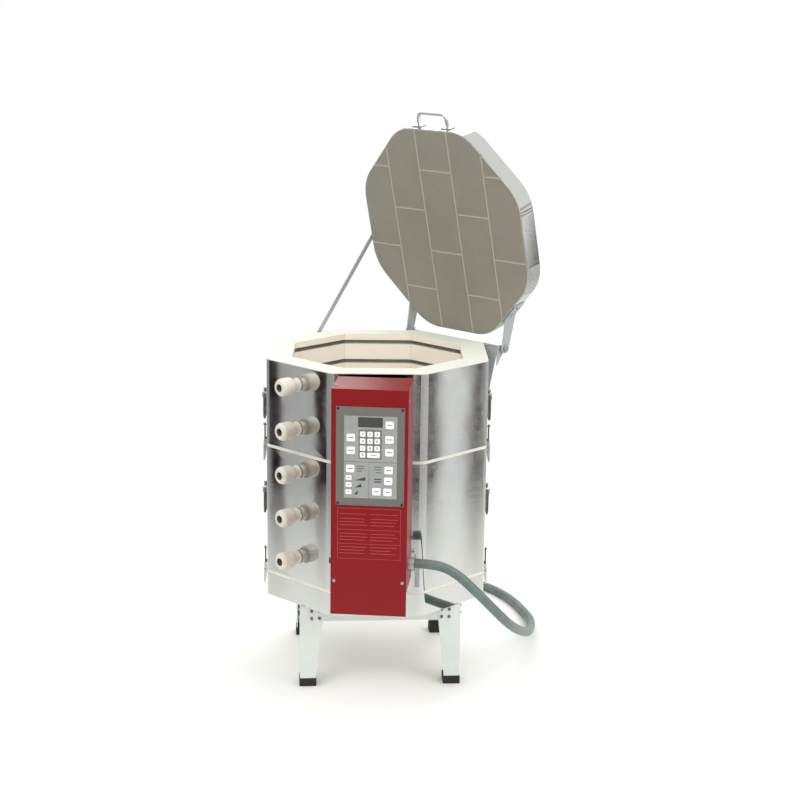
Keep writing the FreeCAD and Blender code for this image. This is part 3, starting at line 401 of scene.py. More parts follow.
def finishedNode(node, material, edge=0.0):
    # a clean copy of a frame node with its edges broken
    bm = mergedCopy(node)
    mesh = bpy.data.meshes.new(node)
    bm.to_mesh(mesh)
    bm.free()
    mesh.shade_smooth()
    mesh.set_sharp_from_angle(angle=math.radians(35.0))
    piece = addPiece(node + "_finished", mesh, material, frame["nodes"][node]["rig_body"], [node])
    if edge:
        bevelled(piece, edge, angle=35.0)
    else:
        piece.modifiers.new("flats", "WEIGHTED_NORMAL").keep_sharp = True
    return piece


def revolved(profile, steps, matrix):
    # profile is (distance along the axis, radius); the axis is local -y
    bm = bmesh.new()
    rings = []
    for along, radius in profile:
        if radius == 0:
            rings.append([bm.verts.new((0, -along, 0))])
            continue
        rings.append([bm.verts.new((radius * math.cos(2 * math.pi * i / steps), -along,
                                    radius * math.sin(2 * math.pi * i / steps))) for i in range(steps)])
    for one, two in zip(rings, rings[1:]):
        for i in range(steps):
            j = (i + 1) % steps
            corners = [one[i % len(one)], one[j % len(one)], two[j % len(two)], two[i % len(two)]]
            bm.faces.new(list(dict.fromkeys(corners)))
    bmesh.ops.transform(bm, matrix=matrix, verts=bm.verts)
    bmesh.ops.recalc_face_normals(bm, faces=bm.faces)
    return bm


def roundedSteps(start, end, startRadius, endRadius, steps=5):
    # quarter-round between two (along, radius) points of a profile
    points = []
    for i in range(1, steps + 1):
        t = math.pi / 2 * i / steps
        points.append((start + (end - start) * (1 - math.cos(t)),
                       startRadius + (endRadius - startRadius) * math.sin(t)))
    return points


def boxInto(bm, low, high):
    made = bmesh.ops.create_cube(bm, size=1.0)["verts"]
    size, middle = Vector(high) - Vector(low), (Vector(low) + Vector(high)) / 2
    bmesh.ops.scale(bm, vec=size, verts=made)
    bmesh.ops.translate(bm, vec=middle, verts=made)


def prismInto(bm, *outlines):
    # closed prism between two outlines with the same number of points
    base, top = [[bm.verts.new(point) for point in outline] for outline in outlines]
    bm.faces.new(base)
    bm.faces.new(top)
    for i in range(len(base)):
        j = (i + 1) % len(base)
        bm.faces.new((base[i], base[j], top[j], top[i]))


def nodeTree(name, wanted):
    # a Geometry Nodes tree with named inputs; wanted is {name: (socket kind, default)}
    tree = bpy.data.node_groups.new(name, "GeometryNodeTree")
    tree.interface.new_socket("Geometry", in_out="INPUT", socket_type="NodeSocketGeometry")
    tree.interface.new_socket("Geometry", in_out="OUTPUT", socket_type="NodeSocketGeometry")
    for title, (kind, default) in wanted.items():
        socket = tree.interface.new_socket(title, in_out="INPUT", socket_type="NodeSocket" + kind)
        if default is not None:
            socket.default_value = default
    source = tree.nodes.new("NodeGroupInput")
    target = tree.nodes.new("NodeGroupOutput")
    return tree, source.outputs, target.inputs[0]


def plainMesh(carrier):
    # a carrier's finished shape as a plain mesh; the carrier itself is removed
    bpy.context.view_layer.update()
    graph = bpy.context.evaluated_depsgraph_get()
    mesh = bpy.data.meshes.new_from_object(carrier.evaluated_get(graph), depsgraph=graph)
    carrier.modifiers.clear()
    bpy.data.objects.remove(carrier)
    return mesh


def grown(tree, carrier, values):
    # runs a tree on a carrier object and gives back its result as a plain mesh
    modifier = carrier.modifiers.new("grow", "NODES")
    modifier.node_group = tree
    keys = {item.name: item.identifier for item in tree.interface.items_tree
            if item.item_type == "SOCKET" and item.in_out == "INPUT"}
    for title, value in values.items():
        modifier[keys[title]] = value
    return plainMesh(carrier)


def carrierOf(mesh):
    carrier = bpy.data.objects.new("carrier", mesh)
    scene.collection.objects.link(carrier)
    return carrier


# ---- camera, floor and lights
cameraPlace = {"back": 4.5585, "side": -0.0137, "height": 1.7865,
               "aimSide": 0.0604, "aimHeight": 0.7207, "roll": 0.76, "lens": 79.4}
studio = {"floorReach": 2.3, "floorSolid": 0.75, "skyStrength": 1.0,
          "curtainStep": 1.841, "curtainFirst": 1.8, "curtainColour": "#3A2024",
          "skyLeft": 0.6, "skyRight": 1.05, "lampAim": (0, 0, 0.7),
          # name, place, width and power of each lamp
          "lamps": (("key", (-1.9, -2.4, 3.2), 2.2, 40), ("fill", (2.4, -2.0, 2.8), 2.2, 44),
                    ("rear", (0.6, 2.6, 2.8), 2.4, 34))}


def makeCamera():
    data = bpy.data.cameras.new("camera")
    data.lens = cameraPlace["lens"]
    data.sensor_width = 36
    camera = bpy.data.objects.new("camera", data)
    scene.collection.objects.link(camera)
    place = kilnAxis + Vector((cameraPlace["side"], -cameraPlace["back"], cameraPlace["height"]))
    aim = kilnAxis + Vector((cameraPlace["aimSide"], 0, cameraPlace["aimHeight"]))
    back = (place - aim).normalized()
    right = Vector((0, 0, 1)).cross(back).normalized()
    up = back.cross(right)
    turn = Matrix((right, up, back)).transposed().to_4x4()
    camera.matrix_world = (Matrix.Translation(place) @ turn
                           @ Matrix.Rotation(math.radians(cameraPlace["roll"]), 4, "Z"))
    scene.camera = camera


def makeStudio():
    bm = bmesh.new()
    bmesh.ops.create_circle(bm, cap_ends=True, segments=64, radius=studio["floorReach"])
    mesh = bpy.data.meshes.new("floor")
    bm.to_mesh(mesh)
    bm.free()
    floor = bpy.data.objects.new("floor", mesh)
    scene.collection.objects.link(floor)
    material, tree, bsdf, place = startMaterial("white studio paper", "#F4F4F2", roughness=0.85,
                                                Specular_IOR_Level=0.1)
    away = addNode(tree, "ShaderNodeVectorMath", {0: place}, operation="LENGTH").outputs["Value"]
    fade = addNode(tree, "ShaderNodeMapRange", {"Value": away, "From Min": studio["floorSolid"],
                                                "From Max": studio["floorReach"] * 0.97,
                                                "To Min": 1.0, "To Max": 0.0}).outputs[0]
    tree.links.new(fade, bsdf.inputs["Alpha"])
    mesh.materials.append(material)

    world = bpy.data.worlds.new("studio")
    scene.world = world
    world.use_nodes = True
    tree = world.node_tree
    tree.nodes.clear()
    direction = addNode(tree, "ShaderNodeTexCoord").outputs["Generated"]
    axes = addNode(tree, "ShaderNodeSeparateXYZ", {0: direction}).outputs
    lift = addNode(tree, "ShaderNodeMapRange", {"Value": axes[2], "From Min": -1.0,
                                                "From Max": 1.0}).outputs[0]
    sky = rampOf(tree, lift, [(0.0, 0.95), (0.5, 0.95), (0.62, 1.0), (1.0, 1.0)])
    # narrow dark curtains hang between the lamps: upright streaks that the sheet metal mirrors
    azimuth = mathOf(tree, "DEGREES", mathOf(tree, "ARCTAN2", axes[1], axes[0]))
    step = studio["curtainStep"]
    along = mathOf(tree, "ADD", azimuth, 360 * step - studio["curtainFirst"])
    off = mathOf(tree, "PINGPONG", along, step / 2)
    curtain = rampOf(tree, mathOf(tree, "MULTIPLY", off, 2 / step),
                     [(0.26, studio["curtainColour"]), (0.38, "#FFFFFF")])
    sideLevel = addNode(tree, "ShaderNodeMapRange", {
        "Value": axes[0], "From Min": -1.0, "From Max": 1.0, "To Min": studio["skyLeft"],
        "To Max": studio["skyRight"]}).outputs[0]
    openings = addNode(tree, "ShaderNodeMix", {"Factor": 1.0, 6: curtain, 7: sideLevel}, data_type="RGBA",
                       blend_type="MULTIPLY").outputs[2]
    low = addNode(tree, "ShaderNodeMapRange", {"Value": axes[2], "From Min": 0.05, "From Max": 0.3,
                                               "To Min": 1.0, "To Max": 0.0}).outputs[0]
    sky = addNode(tree, "ShaderNodeMix", {"Factor": low, 6: sky, 7: openings}, data_type="RGBA",
                  blend_type="MULTIPLY").outputs[2]
    seen = addNode(tree, "ShaderNodeLightPath").outputs["Is Camera Ray"]
    colour = addNode(tree, "ShaderNodeMix", {"Factor": seen, 6: sky, 7: (1.0, 1.0, 1.0, 1.0)},
                     data_type="RGBA").outputs[2]
    light = addNode(tree, "ShaderNodeBackground", {"Color": colour,
                                                   "Strength": studio["skyStrength"]}).outputs[0]
    addNode(tree, "ShaderNodeOutputWorld", {"Surface": light})

    for name, place, size, power in studio["lamps"]:
        data = bpy.data.lights.new(name, "AREA")
        data.size = size
        data.energy = power
        lamp = bpy.data.objects.new(name, data)
        scene.collection.objects.link(lamp)
        lamp.location = kilnAxis + Vector(place)
        aim = Vector(studio["lampAim"]) - Vector(place)
        lamp.rotation_euler = aim.to_track_quat("-Z", "Y").to_euler()


scene.view_settings.view_transform = "Standard"
makeCamera()
makeStudio()
print("camera and studio made")


# ---- supply cord and its fittings
cordSetup = {
    "diameter": 0.024, "length": 1.60, "sides": 20, "landing": (0.447, 0.26, 0.0167),
    # centre line in the kiln's own frame, from the connector on the box to the plug
    "route": [(0.0944, -0.4011, 0.4000), (0.1479, -0.4067, 0.4000), (0.1980, -0.4140, 0.3805),
              (0.2620, -0.4230, 0.3210), (0.3155, -0.3830, 0.2540), (0.3485, -0.3110, 0.2030),
              (0.3740, -0.2330, 0.1640), (0.3945, -0.1540, 0.1300), (0.4100, -0.0720, 0.0990),
              (0.4230, 0.0120, 0.0710), (0.4345, 0.0965, 0.0465), (0.4450, 0.1800, 0.0280),
              (0.4470, 0.2605, 0.0167), (0.4340, 0.3365, 0.0124), (0.4145, 0.4085, 0.0122),
              (0.3870, 0.4745, 0.0122), (0.3510, 0.5330, 0.0122), (0.3060, 0.5810, 0.0122),
              (0.2530, 0.6150, 0.0122), (0.1930, 0.6345, 0.0126), (0.1295, 0.6380, 0.0150),
              (0.0675, 0.6260, 0.0199)]}


def cordLine():
    curve = bpy.data.curves.new("cordLine", "CURVE")
    curve.dimensions = "3D"
    curve.resolution_u = 10
    spline = curve.splines.new("NURBS")
    route = [kilnAxis + Vector(point) for point in cordSetup["route"]]
    spline.points.add(len(route) - 1)
    for point, place in zip(spline.points, route):
        point.co = (*place, 1.0)
    spline.order_u = 3
    spline.use_endpoint_u = True
    points = [v.co.copy() for v in plainMesh(carrierOf(curve)).vertices]
    if (points[0] - route[0]).length > (points[-1] - route[0]).length:
        points.reverse()
    return points


def tubeAlong(points, radius, sides):
    # round tube carried along a line without twisting
    bm = bmesh.new()
    across = Vector((0, 0, 1))
    rings = []
    for i, point in enumerate(points):
        ahead = (points[min(i + 1, len(points) - 1)] - points[max(i - 1, 0)]).normalized()
        across = (across - ahead * across.dot(ahead)).normalized()
        side = ahead.cross(across)
        rings.append([bm.verts.new(point + (across * math.cos(2 * math.pi * k / sides)
                                            + side * math.sin(2 * math.pi * k / sides)) * radius)
                      for k in range(sides)])
    for one, two in zip(rings, rings[1:]):
        for k in range(sides):
            bm.faces.new((one[k], one[(k + 1) % sides], two[(k + 1) % sides], two[k]))
    bm.faces.new(list(reversed(rings[0])))
    bm.faces.new(rings[-1])
    return bm


def makeCord():
    points = cordLine()
    bm = tubeAlong(points, cordSetup["diameter"] / 2, cordSetup["sides"])
    mesh = meshOf(bm, "supply_cord")
    piece = bpy.data.objects.new("supply_cord", mesh)
    scene.collection.objects.link(piece)
    mesh.materials.append(cordRubber)
    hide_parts("power_cord")
    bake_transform(piece)
    plug = finishedNode("power_plug", blackPlastic, 0.0012)


makeCord()
print("cord made")

# ---- brick: the rings and floor keep the frame's own meshes
for node, material in (("lower_ring_brick", firebrick), ("upper_ring_brick", firebrick),
                       ("floor_slab", slabBrick)):
    frame["nodes"][node].data.materials.clear()
    frame["nodes"][node].data.materials.append(material)

lidSetup = {"joint": 0.0028, "recess": 0.0006, "edge": 0.0012, "inner": 0.05715, "outer": 0.17145,
            "corner": 0.1142, "cornerSteps": 9, "brickInset": 0.0002, "cementInset": 0.0008,
            "firedDepth": 0.004}


def clipped(points, apothemIn):
    # a flat outline cut to an octagon with round corners: one cut per side and per corner step
    steps, corner = lidSetup["cornerSteps"], lidSetup["corner"]
    for k in range(8 * steps):
        t = math.pi / 4 * k / steps
        off = math.pi / 4 * (k % steps) / steps - math.pi / 8
        limit = (apothemIn - corner) / math.cos(math.pi / 8) * math.cos(off) + corner
        normal = Vector((math.cos(t), math.sin(t)))
        kept = []
        for one, two in zip(points, points[1:] + points[:1]):
            a, b = normal.dot(one) - limit, normal.dot(two) - limit
            if a <= 0:
                kept.append(one)
            if a * b < 0:
                kept.append(one + (two - one) * (a / (a - b)))
        points = kept
    return points


def makeLid():
    # closed lid, seen in the hinge side's frame: bricks in five columns, ends staggered
    place = lidMatrix @ sideMatrix(3)
    low, high = localBox("lid_slab", place)
    reach = (high.x - low.x) / 2
    middle = Vector(((low.x + high.x) / 2, (low.y + high.y) / 2, 0))
    gap = lidSetup["joint"] / 2
    inner, outer = lidSetup["inner"], lidSetup["outer"]

    def slabInto(bm, outline, levels):
        prismInto(bm, *[[(middle.x + p.x, middle.y + p.y, z) for p in outline] for z in levels])

    bm = bmesh.new()
    columns = [(-reach, -outer, 0), (-outer, -inner, 1), (-inner, inner, 0), (inner, outer, 1),
               (outer, reach, 0)]
    for left, right, odd in columns:
        breaks = [-reach, -inner, outer, reach] if odd else [-reach, -outer, inner, reach]
        for start, end in zip(breaks, breaks[1:]):
            # columns run towards the hinge, which is local -y
            cell = [Vector((left + gap, -(start + gap))), Vector((right - gap, -(start + gap))),
                    Vector((right - gap, -(end - gap))), Vector((left + gap, -(end - gap)))]
            outline = clipped(cell, reach - lidSetup["brickInset"])
            if len(outline) >= 3:
                slabInto(bm, outline, (low.z, high.z))
    mesh = meshOf(bm, "lid_bricks", matrix=place)
    bricks = addPiece("lid_bricks", mesh, lidBrick, "lid", ["lid_slab"])
    # the outer face and the ends never see the fire and stay pale
    mesh.materials.append(slabBrick)
    back = place.inverted()
    for polygon in mesh.polygons:
        polygon.material_index = int((back @ polygon.center).z > low.z + lidSetup["firedDepth"])
    bevelled(bricks, lidSetup["edge"], 3)

    bm = bmesh.new()
    square = [Vector(p) * reach for p in ((-1, -1), (1, -1), (1, 1), (-1, 1))]
    slabInto(bm, clipped(square, reach - lidSetup["cementInset"]),
             (low.z + lidSetup["recess"], high.z - lidSetup["recess"]))
    mesh = meshOf(bm, "lid_cement", matrix=place)
    addPiece("lid_cement", mesh, lidCement, "lid", ["lid_slab"])


makeLid()

# ---- sheet metal, stand and small hardware: frame nodes cleaned up and given broken edges
finishes = [
    ("lower_ring_jacket", stainless, "stainless_sheet", 0),
    ("upper_ring_jacket", stainless, "stainless_sheet", 0),
    ("floor_slab_band", stainless, "stainless_sheet", 0), ("lid_band", stainless, "stainless_sheet", 0),
    ("stand_leg_front_left", standPaint, "stand_paint", 0.0005),
    ("stand_leg_front_right", standPaint, "stand_paint", 0.0005),
    ("stand_leg_rear_right", standPaint, "stand_paint", 0.0005),
    ("stand_leg_rear_left", standPaint, "stand_paint", 0.0005),
    ("stand_rails", standPaint, "stand_paint", 0.0004), ("rubber_feet", footRubber, "foot_rubber", 0.002),
    ("hinge_back_plate", greyBracketPaint, "grey_bracket_paint", 0.0008),
    ("hinge_rod", zincSteel, "zinc_steel", 0.0006),
    ("lid_hinge_arms", greyBracketPaint, "grey_bracket_paint", 0.0006),
    ("lid_brace", greyBracketPaint, "grey_bracket_paint", 0.0006),
    ("brace_guide", greyBracketPaint, "grey_bracket_paint", 0.0005),
    ("brace_guide_stud", zincSteel, "zinc_steel", 0.0004),
    ("lid_fasteners", zincSteel, "zinc_steel", 0.0006), ("lid_handle", chromeSteel, "chrome", 0.0005),
    ("box_mounting_plate", greyBracketPaint, "grey_bracket_paint", 0.0005),
    ("handle_plates", zincSteel, "zinc_steel", 0.0006), ("latch_plates", nickelSteel, "latch_steel", 0.0004),
    ("box_chassis", redEnamel, "red_enamel", 0.0003), ("box_front_panel", redEnamel, "red_enamel", 0.0004),
    ("control_fascia", fasciaPaint, "fascia_paint", 0.0004),
    ("keypad_overlay", keypadFilm, "keypad_film", 0), ("display_window", displayFilter, "display_filter", 0),
    ("box_latch_hook", nickelSteel, "latch_steel", 0.0006), ("relays", blackPlastic, "black_plastic", 0.0006),
    ("controller_board", boardLaminate, "board_laminate", 0.0003),
    ("terminal_block", terminalPlastic, "terminal_plastic", 0.0005),
    ("fuse_holder", blackPlastic, "black_plastic", 0.0006),
    ("cord_connector", zincSteel, "zinc_steel", 0.001),
    ("element_terminals", zincSteel, "zinc_steel", 0), ("thermocouple", porcelain, "porcelain", 0.0005)]
for level in ("upper", "lower"):
    for side in ("right", "left"):
        ending = side + "_" + level
        finishes += [("handle_bail_" + ending, darkZinc, "bail_wire", 0),
                     ("latch_lever_" + ending, nickelSteel, "latch_steel", 0.0004),
                     ("latch_bail_" + ending, darkZinc, "latch_steel", 0)]
for node, material, slotName, edge in finishes:
    finishedNode(node, material, edge)
print("sheet metal and hardware finished")


# ---- screws and bolts, grown on points taken from the frame's own heads
def headsOf(node, centre):
    # middle of each head's seat and its outward direction
    bm = mergedCopy(node)
    left, heads = set(bm.faces), []
    while left:
        grow, found = [left.pop()], []
        while grow:
            face = grow.pop()
            found.append(face)
            for edge in face.edges:
                for other in edge.link_faces:
                    if other in left:
                        left.remove(other)
                        grow.append(other)
        big = sorted(found, key=lambda f: -f.calc_area())[:2]
        ends = [f.calc_center_median() for f in big]
        middle = (ends[0] + ends[1]) / 2
        out = big[0].normal.copy()
        if out.dot(middle - centre) < 0:
            out = -out
        heads.append((middle - out * (ends[0] - ends[1]).length / 2, out,
                      math.sqrt(big[0].calc_area() / math.pi)))
    bm.free()
    return heads


def headTree():
    # a round or hexagon head with a round tapered crown, on every point and turned to its "out"
    tree, given, result = nodeTree("fastener heads", {
        "Sides": ("Int", 6), "Radius": ("Float", 0.004), "Height": ("Float", 0.002),
        "Crown": ("Float", 0.7), "Material": ("Material", None)})
    body = addNode(tree, "GeometryNodeMeshCylinder", {"Vertices": given["Sides"], "Radius": given["Radius"],
                                                      "Depth": given["Height"]}).outputs["Mesh"]
    crownRadius = mathOf(tree, "MULTIPLY", given["Radius"], given["Crown"])
    lift = mathOf(tree, "MULTIPLY", given["Height"], 0.45)
    crown = addNode(tree, "GeometryNodeMeshCone", {"Vertices": 24, "Radius Bottom": given["Radius"],
                                                   "Radius Top": crownRadius, "Depth": lift}).outputs["Mesh"]
    half = mathOf(tree, "MULTIPLY", given["Height"], 0.5)
    raised = addNode(tree, "ShaderNodeCombineXYZ", {2: half}).outputs[0]
    crown = addNode(tree, "GeometryNodeTransform", {"Geometry": crown, "Translation": raised}).outputs[0]
    head = addNode(tree, "GeometryNodeJoinGeometry")
    tree.links.new(crown, head.inputs[0])
    tree.links.new(body, head.inputs[0])
    moved = addNode(tree, "GeometryNodeTransform", {"Geometry": head.outputs[0], "Translation": raised})
    out = addNode(tree, "GeometryNodeInputNamedAttribute", {"Name": "out"}, data_type="FLOAT_VECTOR")
    turn = addNode(tree, "FunctionNodeAlignRotationToVector", {"Vector": out.outputs["Attribute"]}, axis="Z")
    placed = addNode(tree, "GeometryNodeInstanceOnPoints", {
        "Points": given["Geometry"], "Instance": moved.outputs[0], "Rotation": turn.outputs[0]})
    real = addNode(tree, "GeometryNodeRealizeInstances", {0: placed.outputs[0]})
    done = addNode(tree, "GeometryNodeSetMaterial", {"Geometry": real.outputs[0],
                                                     "Material": given["Material"]})
    tree.links.new(done.outputs[0], result)
    return tree


heads = headTree()


def growHeads(name, part):
    smallest, largest = part["radii"]
    places = [item for item in headsOf(part["node"], part["centre"]) if smallest < item[2] < largest]
    mesh = bpy.data.meshes.new(name)
    mesh.from_pydata([p for p, out, r in places], [], [])
    outward = mesh.attributes.new("out", "FLOAT_VECTOR", "POINT")
    for item, (p, out, r) in zip(outward.data, places):
        item.vector = out
    radius = sum(r for p, out, r in places) / len(places)
    made = grown(heads, carrierOf(mesh), {
        "Sides": part["sides"], "Radius": radius, "Height": part["height"], "Crown": part["crown"],
        "Material": part["material"]})
    made.shade_smooth()
    made.set_sharp_from_angle(angle=math.radians(25))
    addPiece(name, made, part["material"], part["body"], [part["node"]])
    print(name, len(places), "heads")


boxMiddle = (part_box("box_chassis")[0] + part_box("box_chassis")[1]) / 2
headSetup = {
    "stand_bolt_heads": {"node": "stand_bolts", "centre": kilnAxis + Vector((0, 0, 0.2)), "body": "kiln",
                         "material": darkZinc, "sides": 6, "height": 0.0036, "crown": 0.7, "radii": (0, 1)},
    "box_screw_heads": {"node": "box_screws", "centre": boxMiddle, "body": "control_box",
                        "material": zincSteel, "sides": 24, "height": 0.0014, "crown": 0.55,
                        "radii": (0.0037, 1)},
    "fascia_screw_heads": {"node": "box_screws", "centre": boxMiddle, "body": "control_box",
                           "material": blackPlastic, "sides": 24, "height": 0.0012, "crown": 0.55,
                           "radii": (0, 0.0037)}}
for name, part in headSetup.items():
    growHeads(name, part)

# ---- heating wire wound in every groove
coilSetup = {"pitch": 0.0065, "turnPoints": 7, "wire": 0.0009}


def coilTree():
    # a helix carried along each closed loop of the input mesh
    tree, given, result = nodeTree("heating coils", {
        "Pitch": ("Float", 0.0065), "Turn points": ("Int", 7), "Coil radius": ("Float", 0.004),
        "Wire radius": ("Float", 0.0009), "Material": ("Material", None)})
    loops = addNode(tree, "GeometryNodeMeshToCurve", {"Mesh": given["Geometry"]}).outputs[0]
    step = mathOf(tree, "DIVIDE", given["Pitch"], given["Turn points"])
    fine = addNode(tree, "GeometryNodeResampleCurve", {"Curve": loops, "Length": step}, mode="LENGTH")
    tangent = addNode(tree, "GeometryNodeInputTangent").outputs[0]
    side = addNode(tree, "ShaderNodeVectorMath", {0: tangent, 1: (0, 0, 1)},
                   operation="CROSS_PRODUCT").outputs[0]
    index = addNode(tree, "GeometryNodeInputIndex").outputs[0]
    part = mathOf(tree, "DIVIDE", index, given["Turn points"])
    angle = mathOf(tree, "MULTIPLY", part, 2 * math.pi)
    across = mathOf(tree, "MULTIPLY", mathOf(tree, "COSINE", angle), given["Coil radius"])
    up = mathOf(tree, "MULTIPLY", mathOf(tree, "SINE", angle), given["Coil radius"])
    first = addNode(tree, "ShaderNodeVectorMath", {0: side, "Scale": across}, operation="SCALE").outputs[0]
    second = addNode(tree, "ShaderNodeCombineXYZ", {2: up}).outputs[0]
    shift = addNode(tree, "ShaderNodeVectorMath", {0: first, 1: second}, operation="ADD").outputs[0]
    wound = addNode(tree, "GeometryNodeSetPosition", {"Geometry": fine.outputs[0], "Offset": shift})
    ring = addNode(tree, "GeometryNodeCurvePrimitiveCircle",
                   {"Resolution": 4, "Radius": given["Wire radius"]})
    solid = addNode(tree, "GeometryNodeCurveToMesh", {"Curve": wound.outputs[0],
                                                      "Profile Curve": ring.outputs[0]})
    real = addNode(tree, "GeometryNodeRealizeInstances", {0: solid.outputs[0]})
    done = addNode(tree, "GeometryNodeSetMaterial", {"Geometry": real.outputs[0],
                                                     "Material": given["Material"]})
    tree.links.new(done.outputs[0], result)
    return tree


def makeCoils():
    # the frame's loops give each coil's height, reach and thickness
    heights = sorted({round(v.co.z, 5) for v in frame["nodes"]["heating_elements"].data.vertices})
    low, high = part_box("heating_elements")
    thick = heights[1] - heights[0]
    reach = (high.x - low.x) / 2 - thick / 2
    points, edges = [], []
    for z in heights[0::2]:
        start = len(points)
        for k in range(8):
            t = math.pi / 8 + math.pi / 4 * k
            r = reach / math.cos(math.pi / 8)
            points.append(kilnAxis + Vector((r * math.cos(t), r * math.sin(t), z + thick / 2)))
            edges.append((start + k, start + (k + 1) % 8))
    mesh = bpy.data.meshes.new("coil loops")
    mesh.from_pydata(points, edges, [])
    made = grown(coilTree(), carrierOf(mesh), {
        "Pitch": coilSetup["pitch"], "Turn points": coilSetup["turnPoints"],
        "Coil radius": thick / 2 - coilSetup["wire"], "Wire radius": coilSetup["wire"],
        "Material": heatingWire})
    made.shade_smooth()
    addPiece("heating_coils", made, heatingWire, "kiln", ["heating_elements"])
    print("heating coils", len(made.polygons), "faces")


makeCoils()

# ---- peephole plugs: cast porcelain, turned profile, millimetres outward from the jacket
plugSetup = {"steps": 56, "tip": 12.0, "root": 15.0, "shank": 58.0, "collar": 18.0, "neck": 15.2,
             "knob": 23.0, "knobStart": 20.6, "knobEnd": 63.6, "hole": 10.0, "holeDepth": 30.0}


def plugProfile():
    s = plugSetup
    line = [(-s["shank"], 0.0), (-s["shank"], s["tip"] - 1.5)]
    line += roundedSteps(-s["shank"], -s["shank"] + 1.5, s["tip"] - 1.5, s["tip"], 3)
    line += [(-0.5, s["root"]), (0.7, s["root"])]
    line += roundedSteps(0.7, 2.2, s["root"] + 1.5, s["collar"], 4)
    line += [(4.0, s["collar"]), (5.0, s["collar"] - 0.6), (5.6, s["collar"] - 1.8)]
    for i in range(7):
        t = i / 6
        line.append((6.0 + 14.0 * t, s["neck"] + 1.2 * (2 * t - 1) ** 2))
    line += roundedSteps(s["knobStart"], s["knobStart"] + 11.0, s["neck"] + 1.4, s["knob"], 9)
    line += [(s["knobEnd"] - 12.0, s["knob"])]
    for i in range(1, 10):
        t = math.pi / 2 * i / 9
        line.append((s["knobEnd"] - 12.0 + 11.0 * math.sin(t), s["knob"] - 10.0 * (1 - math.cos(t))))
    line += [(s["knobEnd"], s["hole"] + 1.6), (s["knobEnd"] - 0.5, s["hole"] + 0.4),
             (s["knobEnd"] - 1.5, s["hole"]), (s["knobEnd"] - s["holeDepth"], s["hole"] - 1.2),
             (s["knobEnd"] - s["holeDepth"] - 0.8, 0.0)]
    return [(along * mm, radius * mm) for along, radius in line]


for number in range(1, 6):
    node = "peephole_plug_%d" % number
    low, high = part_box(node)
    matrix = sideMatrix(7) @ Matrix.Translation((0, 0, (low.z + high.z) / 2))
    mesh = meshOf(revolved(plugProfile(), plugSetup["steps"], matrix), node + "_cast", 50)
    piece = addPiece(node + "_cast", mesh, porcelain, "plug_%d" % number, [node])
    mesh.materials.append(boreShadePaint)
    back = matrix.inverted()
    # faces deep inside the hole take the dark bore colour: painted shade
    for polygon in mesh.polygons:
        spot = back @ polygon.center
        deep = -spot.y > (plugSetup["knobEnd"] - plugSetup["holeDepth"] - 2) * mm
        inside = math.hypot(spot.x, spot.z) < plugSetup["hole"] * mm
        polygon.material_index = int(deep and inside)
print("plugs made")


# ---- keypad: printed keys on the film, in millimetres from its top left corner
overlayLow, overlayHigh = localBox("keypad_overlay", boxMatrix)
keySetup = {
    "numbers": {"size": (13.4, 13.4), "corner": 2.2,
                "at": [(x, y) for y in (44.7, 62.0, 79.8) for x in (45.1, 62.8, 80.2)] + [(45.1, 96.6)]},
    "enter": {"size": (31.0, 13.4), "corner": 2.2, "at": [(71.5, 96.6)]},
    "side": {"size": (21.0, 19.6), "corner": 3.0,
             "at": [(16.3, 54.2), (16.3, 86.0), (109.8, 56.8), (109.8, 88.4), (110.1, 20.6),
                    (15.3, 131.4), (108.5, 133.0), (107.9, 160.2), (79.5, 187.2), (106.3, 188.0)]},
    "small": {"size": (15.0, 12.4), "corner": 2.0, "at": [(11.5, 154.2), (11.5, 171.7), (11.5, 189.9)]},
    "bars": [(31, 47.5, 124.5, 1.5), (31, 47.5, 130.9, 1.5), (31, 44, 137.0, 1.5),
             (74.7, 91, 125.6, 1.5), (74.7, 91, 132.5, 1.5), (78, 91, 139.6, 1.5),
             (73.4, 91, 156.4, 2.6), (73.4, 91, 162.8, 2.6), (9, 23.5, 54.2, 1.6), (9, 23.5, 86.0, 1.6),
             (103, 117, 56.8, 1.6), (103, 117, 88.4, 1.6), (104, 116, 20.6, 1.6),
             (9, 21.5, 131.4, 1.6), (102, 115, 133.0, 1.6), (102, 114, 160.2, 1.6),
             (73.5, 85.5, 187.2, 1.6), (100, 112.5, 188.0, 1.6), (7, 16, 154.2, 1.2), (7, 16, 171.7, 1.2),
             (7, 16, 189.9, 1.2)],
    "ramps": [(25.8, 52.4, 160.9, 9.3), (27.2, 42.7, 178.0, 10.0), (24.5, 34.0, 196.0, 10.0)],
    # name, middle, size and corner of each printed ground
    "grounds": [("keypad_ground", (63.3, 69.9), (56.4, 73.6), 2.0),
                ("keypad_rule_across", (64.2, 114.0), (128.0, 1.6), 0.4),
                ("keypad_rule_down", (61.0, 159.5), (1.2, 90.5), 0.4)],
    "display": ("display_frame", (63.4, 15.3), (60.0, 25.0), 1.0),
    "lifts": {"ground": 0.06, "rim": 0.12, "key": 0.2, "display": 0.04, "bar": 0.26, "ramp": 0.15,
              "sunk": -0.02},
    "rim": (1.3, 0.6), "enterBar": (65, 79, 96.6, 1.2),
    "digit": {"size": 9.5, "extrude": 0.05, "lift": 0.23}}


def onFilm(x, down, lift=0.0):
    return Vector((overlayLow.x + x * mm, overlayLow.y - lift * mm, overlayHigh.z - down * mm))


